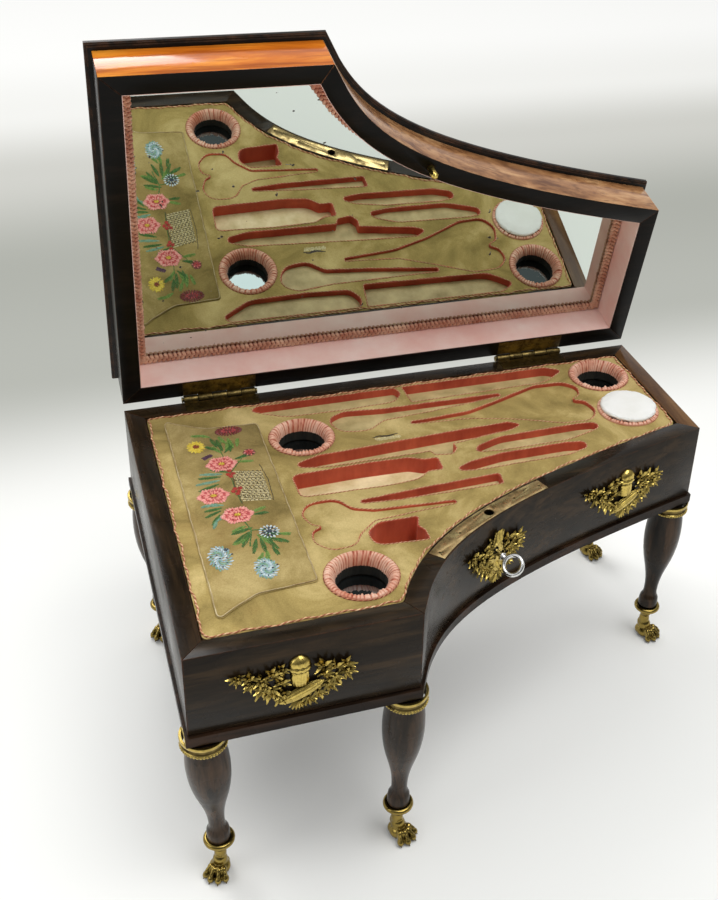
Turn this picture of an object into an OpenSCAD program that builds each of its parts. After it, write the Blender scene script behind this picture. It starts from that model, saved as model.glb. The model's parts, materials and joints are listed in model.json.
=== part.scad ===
// Sewing box in the shape of a small grand piano, with its lid open.
// Millimetres, +Z up. The plan is drawn with x along the straight spine side, from the
// keyboard end to the tail, and y from the cheek face in front to the spine behind.
// The whole is then centred over the floor, with z = 0 under the paws.

/* [Case] */
// Length of the straight spine side
case_len = 300; // [290:1:330]
// Depth from the cheek face to the spine
case_depth = 200; // [196:1:212]
// Length of the cheek, the short front face
cheek_len = 106; // [102:1:110]
// Width of the tail end
tail_w = 97; // [95:1:106]
// Angle at which the bentside leaves the cheek
bent_angle = 65; // [60:1:70]
// Angle at which the bentside meets the tail
tail_angle = 14; // [11:1:17]
// Pull of the curve at the cheek
cheek_pull = 43; // [36:1:50]
// Pull of the curve at the tail
tail_pull = 158; // [145:1:165]
// Height of the case walls above the plinth
case_h = 44; // [42:0.5:60]
// Thickness of the case and lid walls
wall_t = 10; // [9.5:0.1:10.5]
// Thickness of the plinth board
plinth_t = 7; // [5:0.5:10]
// How far the plinth stands out from the walls
plinth_out = 1.3; // [0.8:0.1:2]

/* [Lid] */
// Height of the lid walls, from the seam to the lid board
lid_h = 23; // [22:0.5:40]
// Thickness of the lid board
lid_board_t = 5; // [4:0.5:8]
// Overhang of the lid board's moulded edge
lid_out = 3; // [2.5:0.1:5]
// Angle of the open lid, from closed
open_angle = 76.5; // [60:0.5:95]
// Gap between lid rim and case rim when closed
seam = 0.3; // [0.2:0.05:0.6]
// Thickness of the mirror glass
mirror_t = 1.8; // [1.2:0.1:2.4]
// Thickness of the mirror's backing paper and board
backing_t = 0.8; // [0.4:0.1:1.5]
// Diameter of the gimp cord round the mirror
gimp_d = 6.4; // [4:0.2:8]
// Thickness of the pink paper lining
lining_t = 0.3; // [0.2:0.1:0.5]

/* [Legs] */
// Height from the floor to the plinth
leg_h = 99; // [90:1:110]
// Distance of each leg's axis inside the wall faces
leg_in = 7.5; // [7:0.5:10]
// Radius of the gilt collars
collar_r = 10.8; // [10.2:0.1:12]
// Height of the gilt collars
collar_h = 6.5; // [5.5:0.5:8]
// Largest radius of the turned legs
leg_r = 10.2; // [9.8:0.1:11]
// Radius of the neck above the paw ring
neck_r = 3.9; // [3:0.1:5]
// Height of the ring above each paw
ring_z = 22; // [20:0.5:24]
// Thickness of the ring above each paw
ring_d = 3; // [2.4:0.1:3.6]
// Radius of the ankle of each paw
ankle_r = 2.9; // [2.4:0.1:3.5]

/* [Hinges] */
// Length of each hinge
hinge_len = 40; // [34:1:46]
// Distance of the left hinge's middle from the keyboard end
hinge_in = 52.5; // [45:0.5:70]
// Distance of the right hinge's middle from the tail end
hinge_tail_in = 62; // [50:1:75]
// Distance of the hinge axis behind the spine
hinge_back = 2.8; // [2.7:0.1:3.4]
// Thickness of the hinge leaves
leaf_t = 1.2; // [0.8:0.1:1.6]
// Radius of the hinge knuckles
knuckle_r = 2.3; // [1.9:0.1:2.5]
// Radius of the hinge pins
pin_r = 1; // [0.8:0.1:1.2]
// Running clearance between pin and knuckle
pin_gap = 0.05; // [0.02:0.01:0.09]

/* [Lock] */
// Place of the lock along the bentside, as a fraction of its curve
lock_t = 0.555; // [0.52:0.005:0.59]
// Depth of the keyhole below the rim
key_drop = 20; // [18:0.5:23]
// Radius of the key's shank
shank_r = 1.5; // [1.2:0.1:1.7]
// Angle by which the loose key droops
key_droop = 12; // [0:1:14]
// Outer radius of the key's ring
bow_r = 6; // [5.4:0.1:7]
// Thickness of the key's ring
bow_d = 2.2; // [1.6:0.1:2.6]
// Radius of the catch under the lid
catch_r = 1.9; // [1.5:0.1:2.1]
// Clearance round the catch in the lock plate
catch_gap = 0.6; // [0.4:0.1:1]
// Width of the lock plate on the rim
plate_w = 8.2; // [7:0.1:8.4]

/* [Tray] */
// Depth of the velvet's face below the rim
tray_drop = 0.8; // [0.6:0.1:1.2]
// Thickness of the tray's wooden core
core_t = 16; // [15.5:0.5:20]
// Thickness of the velvet
velvet_t = 0.8; // [0.5:0.1:1.2]
// Clearance between tray and case
tray_gap = 0.5; // [0.3:0.1:0.8]
// Thickness of the red recess linings
red_t = 0.6; // [0.4:0.1:0.8]
// Width of the cord edging of the recesses
edging_w = 1; // [0.7:0.1:1.2]
// Outer radius of the ruched socket rings
socket_r = 17; // [16:0.5:18]
// Inner radius of the sockets
socket_in_r = 12.5; // [11.5:0.5:13]
// Depth of the sockets
socket_deep = 10; // [8:0.5:12]
// Height of the pincushion's crown above the velvet
cushion_h = 5.5; // [4:0.5:8]
// Radius of the pincushion's crown
cushion_r = 16.2; // [15:0.1:16.4]
// Height of the raised embroidered panel
panel_h = 1; // [0.6:0.1:1.4]
// Height of the ledges that carry the tray
bearer_h = 6; // [4:0.5:8]
// Width of the ledges that carry the tray
bearer_w = 5; // [3:0.5:7]

/* [Hidden] */
$fn = 48;
eps = 0.01;

// Colours
rosewood = "#3a2418";
ebony = "#1d1512";
gilt = "#b8923a";
old_brass = "#6f6136";
steel = "#b9b9b4";
velvet = "#9a8f63";
brick_red = "#9c3a2c";
copper_cord = "#c98f62";
pink_paper = "#d99a9c";
silk_pink = "#c98478";

// Heights
rim_z = leg_h + plinth_t + case_h;
wall_z = leg_h + plinth_t;
axis_y = case_depth + hinge_back;
axis_z = rim_z + seam / 2;
lid_z = rim_z + seam;
board_z = rim_z + lid_h;
tray_z = rim_z - tray_drop;
core_z = tray_z - velvet_t - core_t;

// The front of the collars and the back of the open lid's board bound the whole in y
front_y = leg_in - collar_r;
board_back = board_z + lid_board_t - axis_z;
board_round = 1.7;
back_y = axis_y + (lid_out - board_round - hinge_back) * cos(open_angle) + board_back * sin(open_angle);
middle_y = (front_y + back_y) / 2;

// Plan curves
bent_n = 24;
p0 = [cheek_len, 0];
p3 = [case_len, case_depth - tail_w];
p1 = p0 + cheek_pull * [cos(bent_angle), sin(bent_angle)];
p2 = p3 - tail_pull * [cos(tail_angle), sin(tail_angle)];
function bezier(a, b, c, d, t) =
    pow(1 - t, 3) * a + 3 * pow(1 - t, 2) * t * b + 3 * (1 - t) * t * t * c + t * t * t * d;
function slope(a, b, c, d, t) =
    3 * pow(1 - t, 2) * (b - a) + 6 * (1 - t) * t * (c - b) + 3 * t * t * (d - c);
function bent(t) = bezier(p0, p1, p2, p3, t);
function bent_dir(t) = unit(slope(p0, p1, p2, p3, t));
function bent_out(t) = right_of(bent_dir(t));
// Fraction of the curve at a distance s along it from fraction t
function bent_at(t, s) = t + s / norm(slope(p0, p1, p2, p3, t + s / 2 / norm(slope(p0, p1, p2, p3, t))));
function unit(v) = v / norm(v);
function right_of(v) = [v.y, -v.x];

// Steps along the curve; the first is long, so that inward offsets keep clear of the corner
first_step = 0.12;
function bent_step(i) = i == 0 ? 0 : first_step + (1 - first_step) * (i - 1) / (bent_n - 1);

// The plan, counter-clockwise from the front left corner
plan = concat([[0, 0]], [for (i = [0:bent_n]) bent(bent_step(i))],
    [[case_len, case_depth], [0, case_depth]]);
FRONT_LEFT = 0;
CHEEK_RIGHT = 1;
TAIL_FRONT = bent_n + 1;
BACK_RIGHT = bent_n + 2;
BACK_LEFT = bent_n + 3;
CORNERS = bent_n + 4;

// An outline pushed outwards by d, with mitred corners
function grow(p, d) = [for (i = [0:len(p) - 1])
    let (a = p[(i + len(p) - 1) % len(p)], b = p[i], c = p[(i + 1) % len(p)],
        m = right_of(unit(b - a)), n = right_of(unit(c - b)))
    b + d * (m + n) / max(0.35, 1 + m * n)];

// Arc that rounds corner b by radius r, as points
function fillet(a, b, c, r, n = 4) =
    let (u = unit(a - b), v = unit(c - b), half = acos(max(-1, min(1, u * v))) / 2)
    r <= 0 || half > 89 ? [b] :
    let (run = min(r / tan(half), 0.48 * norm(a - b), 0.48 * norm(c - b)), s = run * tan(half),
        o = b + unit(u + v) * s / sin(half), e = b + u * run - o, f = b + v * run - o,
        from = atan2(e.y, e.x), turn = atan2(f.y, f.x) - from,
        sweep = turn > 180 ? turn - 360 : turn < -180 ? turn + 360 : turn)
    [for (k = [0:n]) o + s * [cos(from + sweep * k / n), sin(from + sweep * k / n)]];

// An outline of [x, y, radius] corners, each rounded by its radius
function rounded(p) = [for (i = [0:len(p) - 1])
    let (a = p[(i + len(p) - 1) % len(p)], b = p[i], c = p[(i + 1) % len(p)])
    each fillet([a.x, a.y], [b.x, b.y], [c.x, c.y], b.z)];

// The tray's outline, with its corners rounded
tray_corner_r = [3, 3, 9, 3, 3];
tray_plan = let (p = grow(plan, -wall_t - tray_gap)) rounded([for (i = [0:CORNERS - 1])
    [p[i].x, p[i].y,
        i == FRONT_LEFT ? tray_corner_r[0] : i == CHEEK_RIGHT ? tray_corner_r[1] :
        i == TAIL_FRONT ? tray_corner_r[2] : i == BACK_RIGHT ? tray_corner_r[3] :
        i == BACK_LEFT ? tray_corner_r[4] : 0]]);

// The tray was laid out on a case of this length and depth; its layout moves with the real ones
LAYOUT = [300, 200];
function laid(x, y) = [x * case_len / LAYOUT.x, y * case_depth / LAYOUT.y];

// Each recess: its depth below the velvet, its middle on the tray, and its outline about that
RECESSES = [
    // Two tools beside the spine
    [4.8, [108, 180], [[-42, 3, 3], [-24, -7, 14], [12, -7.8, 30], [38, -6.5, 9], [43, 1, 6], [41, 6.7, 2],
        [-38, 6.7, 3]]],
    [5.8, [202, 180], [[-47, -9.5, 1], [34, -8, 20], [49, 1.5, 2], [40, 6.7, 8], [-48, 6.7, 1]]],
    // Spoon, with its bowl to the left
    [3.6, [155, 160], [[50, 6, 0.9], [15, 6.5, 30], [-19, 7, 12], [-41, 9.5, 9], [-50.5, 4.5, 10],
        [-47, -9.5, 10], [-31, -11, 9], [-21, -3.5, 8], [5, -1.5, 20], [50, 3.8, 0.9]]],
    // Large scissors, with the bows to the right
    [2.4, [200, 149], [[-52, 0, 0.8], [-18, -3, 30], [5, -10, 30], [30, -20.6, 12], [46, -21.6, 10],
        [52, -13, 8], [50, -3, 5], [42, 0.5, 2], [50, 5, 5], [52, 13, 7], [45, 19.5, 8], [28, 20.3, 14],
        [5, 11.5, 30], [-18, 3.5, 30], [-52, 1.6, 0.8]]],
    // Long tool with a small hooked lug
    [7, [141, 127], [[-61, -3, 3], [-49, -5.6, 6], [8.5, -5.6, 1.6], [10, -10, 1.5], [19, -11, 2.5],
        [22, -7, 1.5], [22, -2, 1.5], [58, 3, 4], [64, 6, 1], [58, 9.5, 2], [24, 8.5, 20], [-50, 4.6, 9],
        [-62, 0.5, 3]]],
    // Broad needle case with a neck
    [9.2, [112, 109], [[-37.5, -10, 3], [8, -11.5, 30], [24, -10, 14], [30, -5, 3], [38, -5, 1.5],
        [38.5, 5, 1.5], [31, 5, 3], [24, 8.8, 10], [-2, 9.6, 40], [-38, 8.4, 3]]],
    // Two small boat shapes
    [4.6, [209, 120], [[-37, -5.5, 3], [-24, -7.5, 10], [16, -7.5, 20], [37, -1, 4], [37, 4, 4],
        [27, 5, 8], [-19, 4, 20], [-33, -1, 6]]],
    [6, [194, 105], [[-39, -4.5, 2], [-24, -6.5, 12], [26, -5.5, 20], [38, -2, 4], [38, 3, 4],
        [28, 4.6, 8], [-9, 4, 20], [-29, 0.5, 12]]],
    // Tapered stiletto
    [5, [139, 88], [[-37, -1.5, 0.9], [-19, -3.5, 10], [37, -4, 1], [37.5, 4, 1], [1, 2.5, 20],
        [-37, 0.2, 0.9]]],
    // Small scissors, with the bows to the left
    [1.6, [110, 74], [[37, 2, 0.8], [-4, 5, 8], [-14, 9, 6], [-20, 18.5, 8], [-34, 18.5, 8],
        [-39, 11, 8], [-36, 2, 5], [-30, -1, 2], [-36.5, -3.5, 4], [-38.5, -11, 7], [-32, -19.5, 8],
        [-19.5, -18.5, 7], [-15.5, -11, 6], [-6, -2.6, 6], [10, -1.5, 20], [37, 0.4, 0.8]]],
    // Thimble, lying on its side
    [14.8, [112, 60], [[-12.5, -7.5, 6], [13, -9.5, 1], [13, -3, 1.2], [10.5, 1.5, 1.8], [13, 8.5, 1],
        [-7, 8.5, 7], [-13.5, 3, 6]]]
];
function recess_outline(r) = [for (q = rounded(r[2])) q + laid(r[1].x, r[1].y)];

// Sockets for reels and boxes; the last holds the pincushion
SOCKETS = [[86.7, 33], [86.9, 151], [270, 170.5], [270, 131.5]];
cushion_at = laid(SOCKETS[3].x, SOCKETS[3].y);

// Raised panel beside the keyboard end, about its own middle
PANEL_AT = [43, 102];
PANEL = [[-24.5, -83, 3], [-17, -77, 5], [-4, -69.5, 14], [24, -68, 2], [24, 68, 2], [-4, 69.5, 14],
    [-17, 77, 5], [-24.5, 83, 3]];
panel_outline = [for (q = rounded(PANEL)) q + laid(PANEL_AT.x, PANEL_AT.y)];

module in_frame(c) {
    color(c) translate([-case_len / 2, -middle_y, 0]) children();
}

module in_lid(c) {
    in_frame(c) translate([0, axis_y, axis_z]) rotate([-open_angle, 0, 0])
        translate([0, -axis_y, -axis_z]) children();
}

module slab(p, z, h) {
    translate([0, 0, z]) linear_extrude(h) polygon(p);
}

// A band that follows the plan from corner a to corner b, between two offsets
module band(a, b, outer, inner, z, h) {
    o = grow(plan, outer);
    i = grow(plan, inner);
    slab(concat([for (k = [a:b]) o[k % CORNERS]], [for (k = [b:-1:a]) i[k % CORNERS]]), z, h);
}

// A band along part of the bentside, s before and after fraction t
module bent_band(t, s, outer, inner, z, h, steps = 12) {
    at = [for (k = [0:steps]) bent_at(t, s * (2 * k / steps - 1))];
    slab(concat([for (k = [0:steps]) bent(at[k]) + outer * bent_out(at[k])],
        [for (k = [steps:-1:0]) bent(at[k]) + inner * bent_out(at[k])]), z, h);
}

// Stands children on the bentside's face: x along it, y up, z outwards
module on_bentside(t, z, out = 0) {
    c = bent(t) + out * bent_out(t);
    translate([c.x, c.y, z]) rotate([0, 0, atan2(bent_dir(t).y, bent_dir(t).x)])
        rotate([90, 0, 0]) children();
}

// Stands children on the cheek's face in the same way
module on_cheek(x, z, out = 0) {
    translate([x, -out, z]) rotate([90, 0, 0]) children();
}

// Case walls

hinge_places = [hinge_in, case_len - hinge_tail_in];
leaf_in = wall_t - 0.5;
leaf_fit = 0.1;

module leaf_mortise(x, z) {
    translate([x - hinge_len / 2 - leaf_fit, case_depth - leaf_in - leaf_fit, z])
        cube([hinge_len + 2 * leaf_fit, leaf_in + 2 * leaf_fit + 1, leaf_t + 1]);
}

module spine_wall() {
    in_frame(rosewood) difference() {
        band(BACK_RIGHT, BACK_LEFT, 0, -wall_t, wall_z, case_h);
        for (x = hinge_places) leaf_mortise(x, rim_z - leaf_t);
        screw_holes(rim_z - leaf_t, -1);
    }
}

module keyboard_end_wall() {
    in_frame(rosewood) band(BACK_LEFT, CORNERS, 0, -wall_t, wall_z, case_h);
}

module cheek_wall() {
    in_frame(rosewood) band(FRONT_LEFT, CHEEK_RIGHT, 0, -wall_t, wall_z, case_h);
}

module bentside_wall() {
    in_frame(rosewood) difference() {
        band(CHEEK_RIGHT, TAIL_FRONT, 0, -wall_t, wall_z, case_h);
        bent_band(lock_t, lock_half + lock_fit, lock_front + lock_fit, lock_back - lock_fit,
            rim_z - lock_deep - lock_fit, lock_deep + 1);
        bent_band(plate_t, plate_half + lock_fit, plate_out + lock_fit, plate_out - plate_w - lock_fit,
            rim_z - plate_t_mm, plate_t_mm + 1);
        on_bentside(lock_t, key_z, -wall_t / 2) keyhole(shank_r + 0.6, wall_t);
    }
}

module tail_wall() {
    in_frame(rosewood) band(TAIL_FRONT, BACK_RIGHT, 0, -wall_t, wall_z, case_h);
}

// The plinth board, rounded at its lower edge, with a fine groove under the walls
plinth_groove = 0.8;
module plinth_board() {
    in_frame(rosewood) {
        r = 2.4;
        steps = 5;
        for (k = [0:steps - 1]) {
            a = 90 * k / steps;
            b = 90 * (k + 1) / steps;
            slab(grow(plan, plinth_out - r * (1 - sin(b))), leg_h + r * (1 - cos(a)),
                r * (cos(a) - cos(b)) + eps);
        }
        slab(grow(plan, plinth_out), leg_h + r, plinth_t - r - plinth_groove);
        slab(grow(plan, -0.4), wall_z - plinth_groove - eps, plinth_groove + eps);
    }
}

module tray_bearers() {
    in_frame("#7a5636") {
        z = core_z - 0.2 - bearer_h;
        back = -wall_t - bearer_w;
        intersection() {
            for (k = [[FRONT_LEFT, CHEEK_RIGHT], [TAIL_FRONT, BACK_RIGHT], [BACK_RIGHT, BACK_LEFT],
                [BACK_LEFT, CORNERS]])
                band(k[0], k[1], -wall_t, back, z, bearer_h);
            slab(grow(plan, -wall_t), z, bearer_h);
        }
    }
}

// Lock

lock_half = 16;
lock_fit = 0.2;
lock_front = -1.9;
lock_back = -8.4;
lock_skin = 0.9;
lock_deep = 26;
key_z = rim_z - key_drop;
plate_t_mm = 1.2;
plate_t = bent_at(lock_t, -2);
plate_half = 41;
plate_out = -0.9;
catch_out = plate_out - plate_w / 2;
bolt_h = 3;
bolt_z = rim_z - plate_t_mm - 0.3 - bolt_h;
bolt_t = 2;
bolt_len = 8;
bolt_start = catch_r + 1.7;
pin_steps = [-38, -20, 20, 38];

module keyhole(r, deep) {
    cylinder(r = r, h = deep, center = false);
    translate([-0.7, -r - 3.6, 0]) cube([1.4, r + 3.6, deep]);
}

module lock_case() {
    in_frame(old_brass) difference() {
        bent_band(lock_t, lock_half, lock_front, lock_back, rim_z - lock_deep, lock_deep - plate_t_mm);
        bent_band(lock_t, lock_half - lock_skin, lock_front - lock_skin, lock_back + lock_skin,
            rim_z - lock_deep + lock_skin, lock_deep);
        on_bentside(lock_t, key_z, lock_front - lock_skin - 0.5) keyhole(shank_r + 1.1, 3);
    }
}

module lock_plate() {
    in_frame(gilt) difference() {
        bent_band(plate_t, plate_half, plate_out, plate_out - plate_w, rim_z - plate_t_mm, plate_t_mm, 20);
        catch_axis() translate([0, 0, rim_z - 3]) cylinder(r = catch_r + catch_gap, h = 4);
        for (s = pin_steps) plate_pin_at(s) translate([0, 0, -3]) cylinder(r = 0.6, h = 4, $fn = 16);
    }
}

module plate_pin_at(s) {
    t = bent_at(plate_t, s);
    c = bent(t) + catch_out * bent_out(t);
    translate([c.x, c.y, rim_z]) children();
}

module lock_plate_pins() {
    in_frame(old_brass) for (s = pin_steps) plate_pin_at(s) {
        translate([0, 0, -plate_t_mm]) cylinder(r = 0.55, h = plate_t_mm + 0.1, $fn = 16);
    }
}

module catch_axis() {
    c = bent(lock_t) + catch_out * bent_out(lock_t);
    translate([c.x, c.y, 0]) rotate([0, 0, atan2(bent_dir(lock_t).y, bent_dir(lock_t).x)]) children();
}

// The bolt slides along the plate; its talon reaches down towards the key
module lock_bolt() {
    in_frame(steel) catch_axis() {
        translate([bolt_start, -bolt_t / 2, bolt_z]) cube([bolt_len, bolt_t, bolt_h]);
        translate([bolt_start + 3.4, -bolt_t / 2, key_z + 8]) cube([3, bolt_t, bolt_z - key_z - 8 + eps]);
    }
}

key_in = 6.4;
bow_out = 13;
bit_len = 3;
bit_r = 5.2;
key_rest = 45;

module key_axis() {
    on_bentside(lock_t, key_z) rotate([key_droop, 0, 0]) rotate([0, 0, -key_rest]) children();
}

module key() {
    in_frame(steel) key_axis() {
        translate([0, 0, -key_in]) cylinder(r = shank_r, h = key_in + bow_out - bow_r + 0.6);
        translate([-0.5, -bit_r, -key_in + 0.2]) cube([1, bit_r, bit_len]);
        translate([0, 0, bow_out - bow_r - 1.8]) cylinder(r = shank_r + 0.7, h = 1);
        translate([0, 0, bow_out]) rotate([0, 90, 0]) rotate_extrude() translate([bow_r - bow_d / 2, 0])
            circle(d = bow_d, $fn = 24);
    }
}

// Gilt mounts: crossed sprays of leaves with a central trophy, each leaf laid on the wall

// Drawn 52 wide; everything on them scales with the width
mount_w = 52;
mount_k = mount_w / 52;
mount_t = 1.1 * mount_k;
mount_z = wall_z + case_h / 2;
spray_rise = 17;
spray_run = 26;

// Place on a mount: x along the wall, y up from the mount's middle, turned by a. Curved walls
// get a little more room behind, because the leaves are flat
module on_mount(wall, x, y, a = 0) {
    if (wall == "cheek")
        on_cheek(cheek_len * 0.45 + x * mount_k, mount_z + y * mount_k, 0.05)
            rotate([0, 0, a]) scale([mount_k, mount_k, 1]) children();
    else
        on_bentside(bent_at(wall, x * mount_k), mount_z + y * mount_k, 0.15)
            rotate([0, 0, a]) scale([mount_k, mount_k, 1]) children();
}

// A leaf of length l laid about its own middle, its stalk at [x, y]
module mount_leaf(wall, x, y, a, l, w, t = mount_t) {
    m = l / 2 - 0.6;
    on_mount(wall, x + m * cos(a), y + m * sin(a), a) translate([-l / 2, 0, 0])
        linear_extrude(t) polygon([[0, -w * 0.15], [l * 0.3, -w / 2], [l * 0.7, -w * 0.38], [l, 0],
            [l * 0.7, w * 0.38], [l * 0.3, w / 2], [0, w * 0.15]]);
}

// A spray climbs from the middle to one side along a bowed line
function spray_at(side, t) = [side * spray_run * t, -11 + spray_rise * (0.35 * t + 0.65 * t * t) + 7 * t];
function spray_turn(side, t) = atan2(spray_at(side, t + 0.05).y - spray_at(side, t).y,
    spray_at(side, t + 0.05).x - spray_at(side, t).x);

module spray(wall, side, count) {
    for (k = [0:count - 1]) {
        t = 0.16 + 0.84 * k / (count - 1);
        q = spray_at(side, t);
        for (hand = [-1, 1])
            mount_leaf(wall, q.x, q.y, spray_turn(side, t) + hand * (52 - 18 * t), 7.2 - 2 * t, 3.4,
                mount_t + 0.25 * hand);
        s = spray_at(side, t - 0.08 + 0.05);
        on_mount(wall, s.x, s.y, spray_turn(side, t - 0.05)) translate([-2.5, -0.6, 0])
            cube([5, 1.2, mount_t - 0.2]);
    }
}

module tail_leaves(wall, y) {
    for (a = [-150, -120, -90, -60, -30]) mount_leaf(wall, 0, y, a, 7, 2.6);
}

// A quiver laid across a flaming torch
module trophy(wall) {
    on_mount(wall, 0.6, 6) {
        linear_extrude(2) polygon([[-3.6, -6], [3.6, -6], [4.2, 3], [-4.2, 3]]);
        linear_extrude(2.4) polygon([[-5.4, 3], [5.4, 3], [4.4, 5], [-4.4, 5]]);
        linear_extrude(1.8) polygon([[-4.4, 5], [4.4, 5], [3.6, 9.5], [0, 12], [-3.6, 9.5]]);
    }
    on_mount(wall, 0, -3, 34) linear_extrude(2.6)
        polygon([[-11, -1.6], [-4, -3.1], [10, -2.7], [11, 0], [10, 2.7], [-4, 3.1], [-11, 1.6]]);
}

module cheek_mount() {
    in_frame(gilt) {
        for (side = [-1, 1]) spray("cheek", side, 8);
        tail_leaves("cheek", -10);
        trophy("cheek");
    }
}

tail_mount_t = 0.875;
module tail_mount() {
    in_frame(gilt) {
        for (side = [-1, 1]) spray(tail_mount_t, side, 8);
        tail_leaves(tail_mount_t, -10);
        trophy(tail_mount_t);
    }
}

module keyhole_mount() {
    hole_y = (key_z - mount_z) / mount_k;
    in_frame(gilt) difference() {
        union() {
            for (side = [-1, 1]) spray(lock_t, side, 8);
            tail_leaves(lock_t, -10);
            on_mount(lock_t, 0, hole_y) {
                cylinder(r = 5.6, h = mount_t);
                linear_extrude(mount_t) polygon([[-5, 0], [-3.4, -13], [3.4, -13], [5, 0]]);
            }
            for (a = [50, 90, 130]) mount_leaf(lock_t, 0, hole_y + 3, a, 9.5, 4);
        }
        on_bentside(lock_t, key_z, -1) keyhole(shank_r + 0.7, 5);
    }
}

// Hinges: five knuckles each, three on the case leaf and two on the lid leaf

knuckles = 5;
knuckle_gap = 0.15;
leaf_back = 0.25;

module knuckle_run(x, odd) {
    for (k = [0:knuckles - 1]) if (k % 2 == odd)
        translate([x - hinge_len / 2 + k * hinge_len / knuckles + knuckle_gap, 0, 0])
            children();
}

knuckle_len = hinge_len / knuckles - 2 * knuckle_gap;

// z is the leaf's lower face; the plate reaches the knuckles at the axis
module hinge_leaf(x, z, odd, up) {
    difference() {
        union() {
            translate([x - hinge_len / 2, case_depth - leaf_in, z])
                cube([hinge_len, leaf_in - leaf_back, leaf_t]);
            knuckle_run(x, odd) {
                translate([0, axis_y, axis_z]) rotate([0, 90, 0]) cylinder(r = knuckle_r, h = knuckle_len);
                translate([0, case_depth - leaf_back - 1, z])
                    cube([knuckle_len, hinge_back + leaf_back + 1, leaf_t]);
            }
        }
        translate([x - hinge_len / 2 - 1, axis_y, axis_z]) rotate([0, 90, 0])
            cylinder(r = pin_r + pin_gap, h = hinge_len + 2);
        for (s = [-1, 0, 1]) translate([x + s * hinge_len * 0.33, case_depth - leaf_in / 2, z - 1])
            cylinder(r = 0.9, h = leaf_t + 2, $fn = 24);
    }
}

module hinge_pin(x) {
    in_frame(old_brass) {
        translate([x - hinge_len / 2 - 0.2, axis_y, axis_z]) rotate([0, 90, 0])
            cylinder(r = pin_r, h = hinge_len + 0.4);
        for (side = [-1, 1]) translate([x + side * (hinge_len / 2 + 0.6) - 0.4, axis_y, axis_z])
            rotate([0, 90, 0]) cylinder(r = 1.6, h = 0.8);
    }
}

module left_hinge_case_leaf() {
    in_frame(old_brass) hinge_leaf(hinge_places[0], rim_z - leaf_t, 0);
}
module left_hinge_lid_leaf() {
    in_lid(old_brass) hinge_leaf(hinge_places[0], lid_z, 1);
}
module left_hinge_pin() {
    hinge_pin(hinge_places[0]);
}
module right_hinge_case_leaf() {
    in_frame(old_brass) hinge_leaf(hinge_places[1], rim_z - leaf_t, 0);
}
module right_hinge_lid_leaf() {
    in_lid(old_brass) hinge_leaf(hinge_places[1], lid_z, 1);
}
module right_hinge_pin() {
    hinge_pin(hinge_places[1]);
}

// One screw at each hole of the leaves; dir is the way the screw points
screw_len = 5;
module screw_spots() {
    for (x = hinge_places) for (s = [-1, 0, 1])
        translate([x + s * hinge_len * 0.33, case_depth - leaf_in / 2, 0]) children();
}
module screw_holes(z, dir) {
    screw_spots() translate([0, 0, dir < 0 ? z - screw_len : z - 0.5])
        cylinder(r = 0.8, h = screw_len + 0.5, $fn = 24);
}
module hinge_case_screws() {
    in_frame(old_brass) screw_spots() translate([0, 0, rim_z - leaf_t - screw_len + 0.3])
        cylinder(r = 0.75, h = screw_len + leaf_t - 0.3, $fn = 24);
}
module hinge_lid_screws() {
    in_lid(old_brass) screw_spots() translate([0, 0, lid_z])
        cylinder(r = 0.75, h = screw_len + leaf_t - 0.3, $fn = 24);
}

// Legs

LEG_CORNER = [FRONT_LEFT, CHEEK_RIGHT, TAIL_FRONT, BACK_RIGHT, BACK_LEFT];
// How far each foot has settled from below its collar
FOOT_SHIFT = [[4.5, 5], [-1.5, 0.5], [-4.5, -2], [-5, -5], [3, -5]];
// Where each paw points, in plan
PAW_TURN = [240, 300, 300, 300, 240];
function leg_at(i) = grow(plan, -leg_in)[LEG_CORNER[i]];
leg_drop = leg_h - ring_z;

module at_leg(i) {
    p = leg_at(i);
    translate([p.x, p.y, leg_h]) children();
}

module collar(i) {
    r = collar_r;
    h = collar_h;
    in_frame(gilt) at_leg(i) rotate_extrude() polygon([[r - 1.5, 0], [r, 0], [r, -0.24 * h],
        [r - 0.8, -0.34 * h], [r - 0.9, -0.58 * h], [r - 0.5, -0.7 * h], [r - 0.15, -0.8 * h],
        [r - 0.4, -0.93 * h], [r - 1, -h], [r - 1.5, -h]]);
}

// The turned leg: a full body near the top, drawn in to a neck, flared into the ring
foot_r = 5.6;
body_end = 0.41;
neck_end = 0.66;
leg_profile = let (
        top = [leg_r - 1.3, -collar_h - 1], waist = [leg_r * 0.8, -leg_h * body_end],
        neck = [neck_r, -leg_h * neck_end], foot = [foot_r, -leg_drop + 5.2])
    concat(
        [[0, -0.4], [3.4, -0.4], [3.4, -1.4], [leg_r - 2, -1.4], [leg_r - 2, -collar_h - 1]],
        [for (k = [0:7]) bezier(top, [leg_r * 1.05, -leg_h * 0.17], [leg_r * 1.08, -leg_h * 0.29],
            waist, k / 7)],
        [for (k = [1:7]) bezier(waist, [leg_r * 0.57, -leg_h * 0.5], [neck_r * 0.95, -leg_h * 0.56],
            neck, k / 7)],
        [for (k = [1:4]) bezier(neck, [neck_r, -leg_h * 0.69], [foot_r, -leg_h * 0.69], foot, k / 4)],
        [[foot_r, -leg_drop + 1.9], [4.2, -leg_drop + 1.9], [4.2, -leg_drop + 1.1], [0, -leg_drop + 1.1]]);

module turned_leg(i) {
    s = FOOT_SHIFT[i];
    in_frame(rosewood) at_leg(i) rotate(a = atan(norm(s) / leg_drop), v = [s.y, -s.x, 0])
        rotate_extrude() polygon(leg_profile);
}

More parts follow.
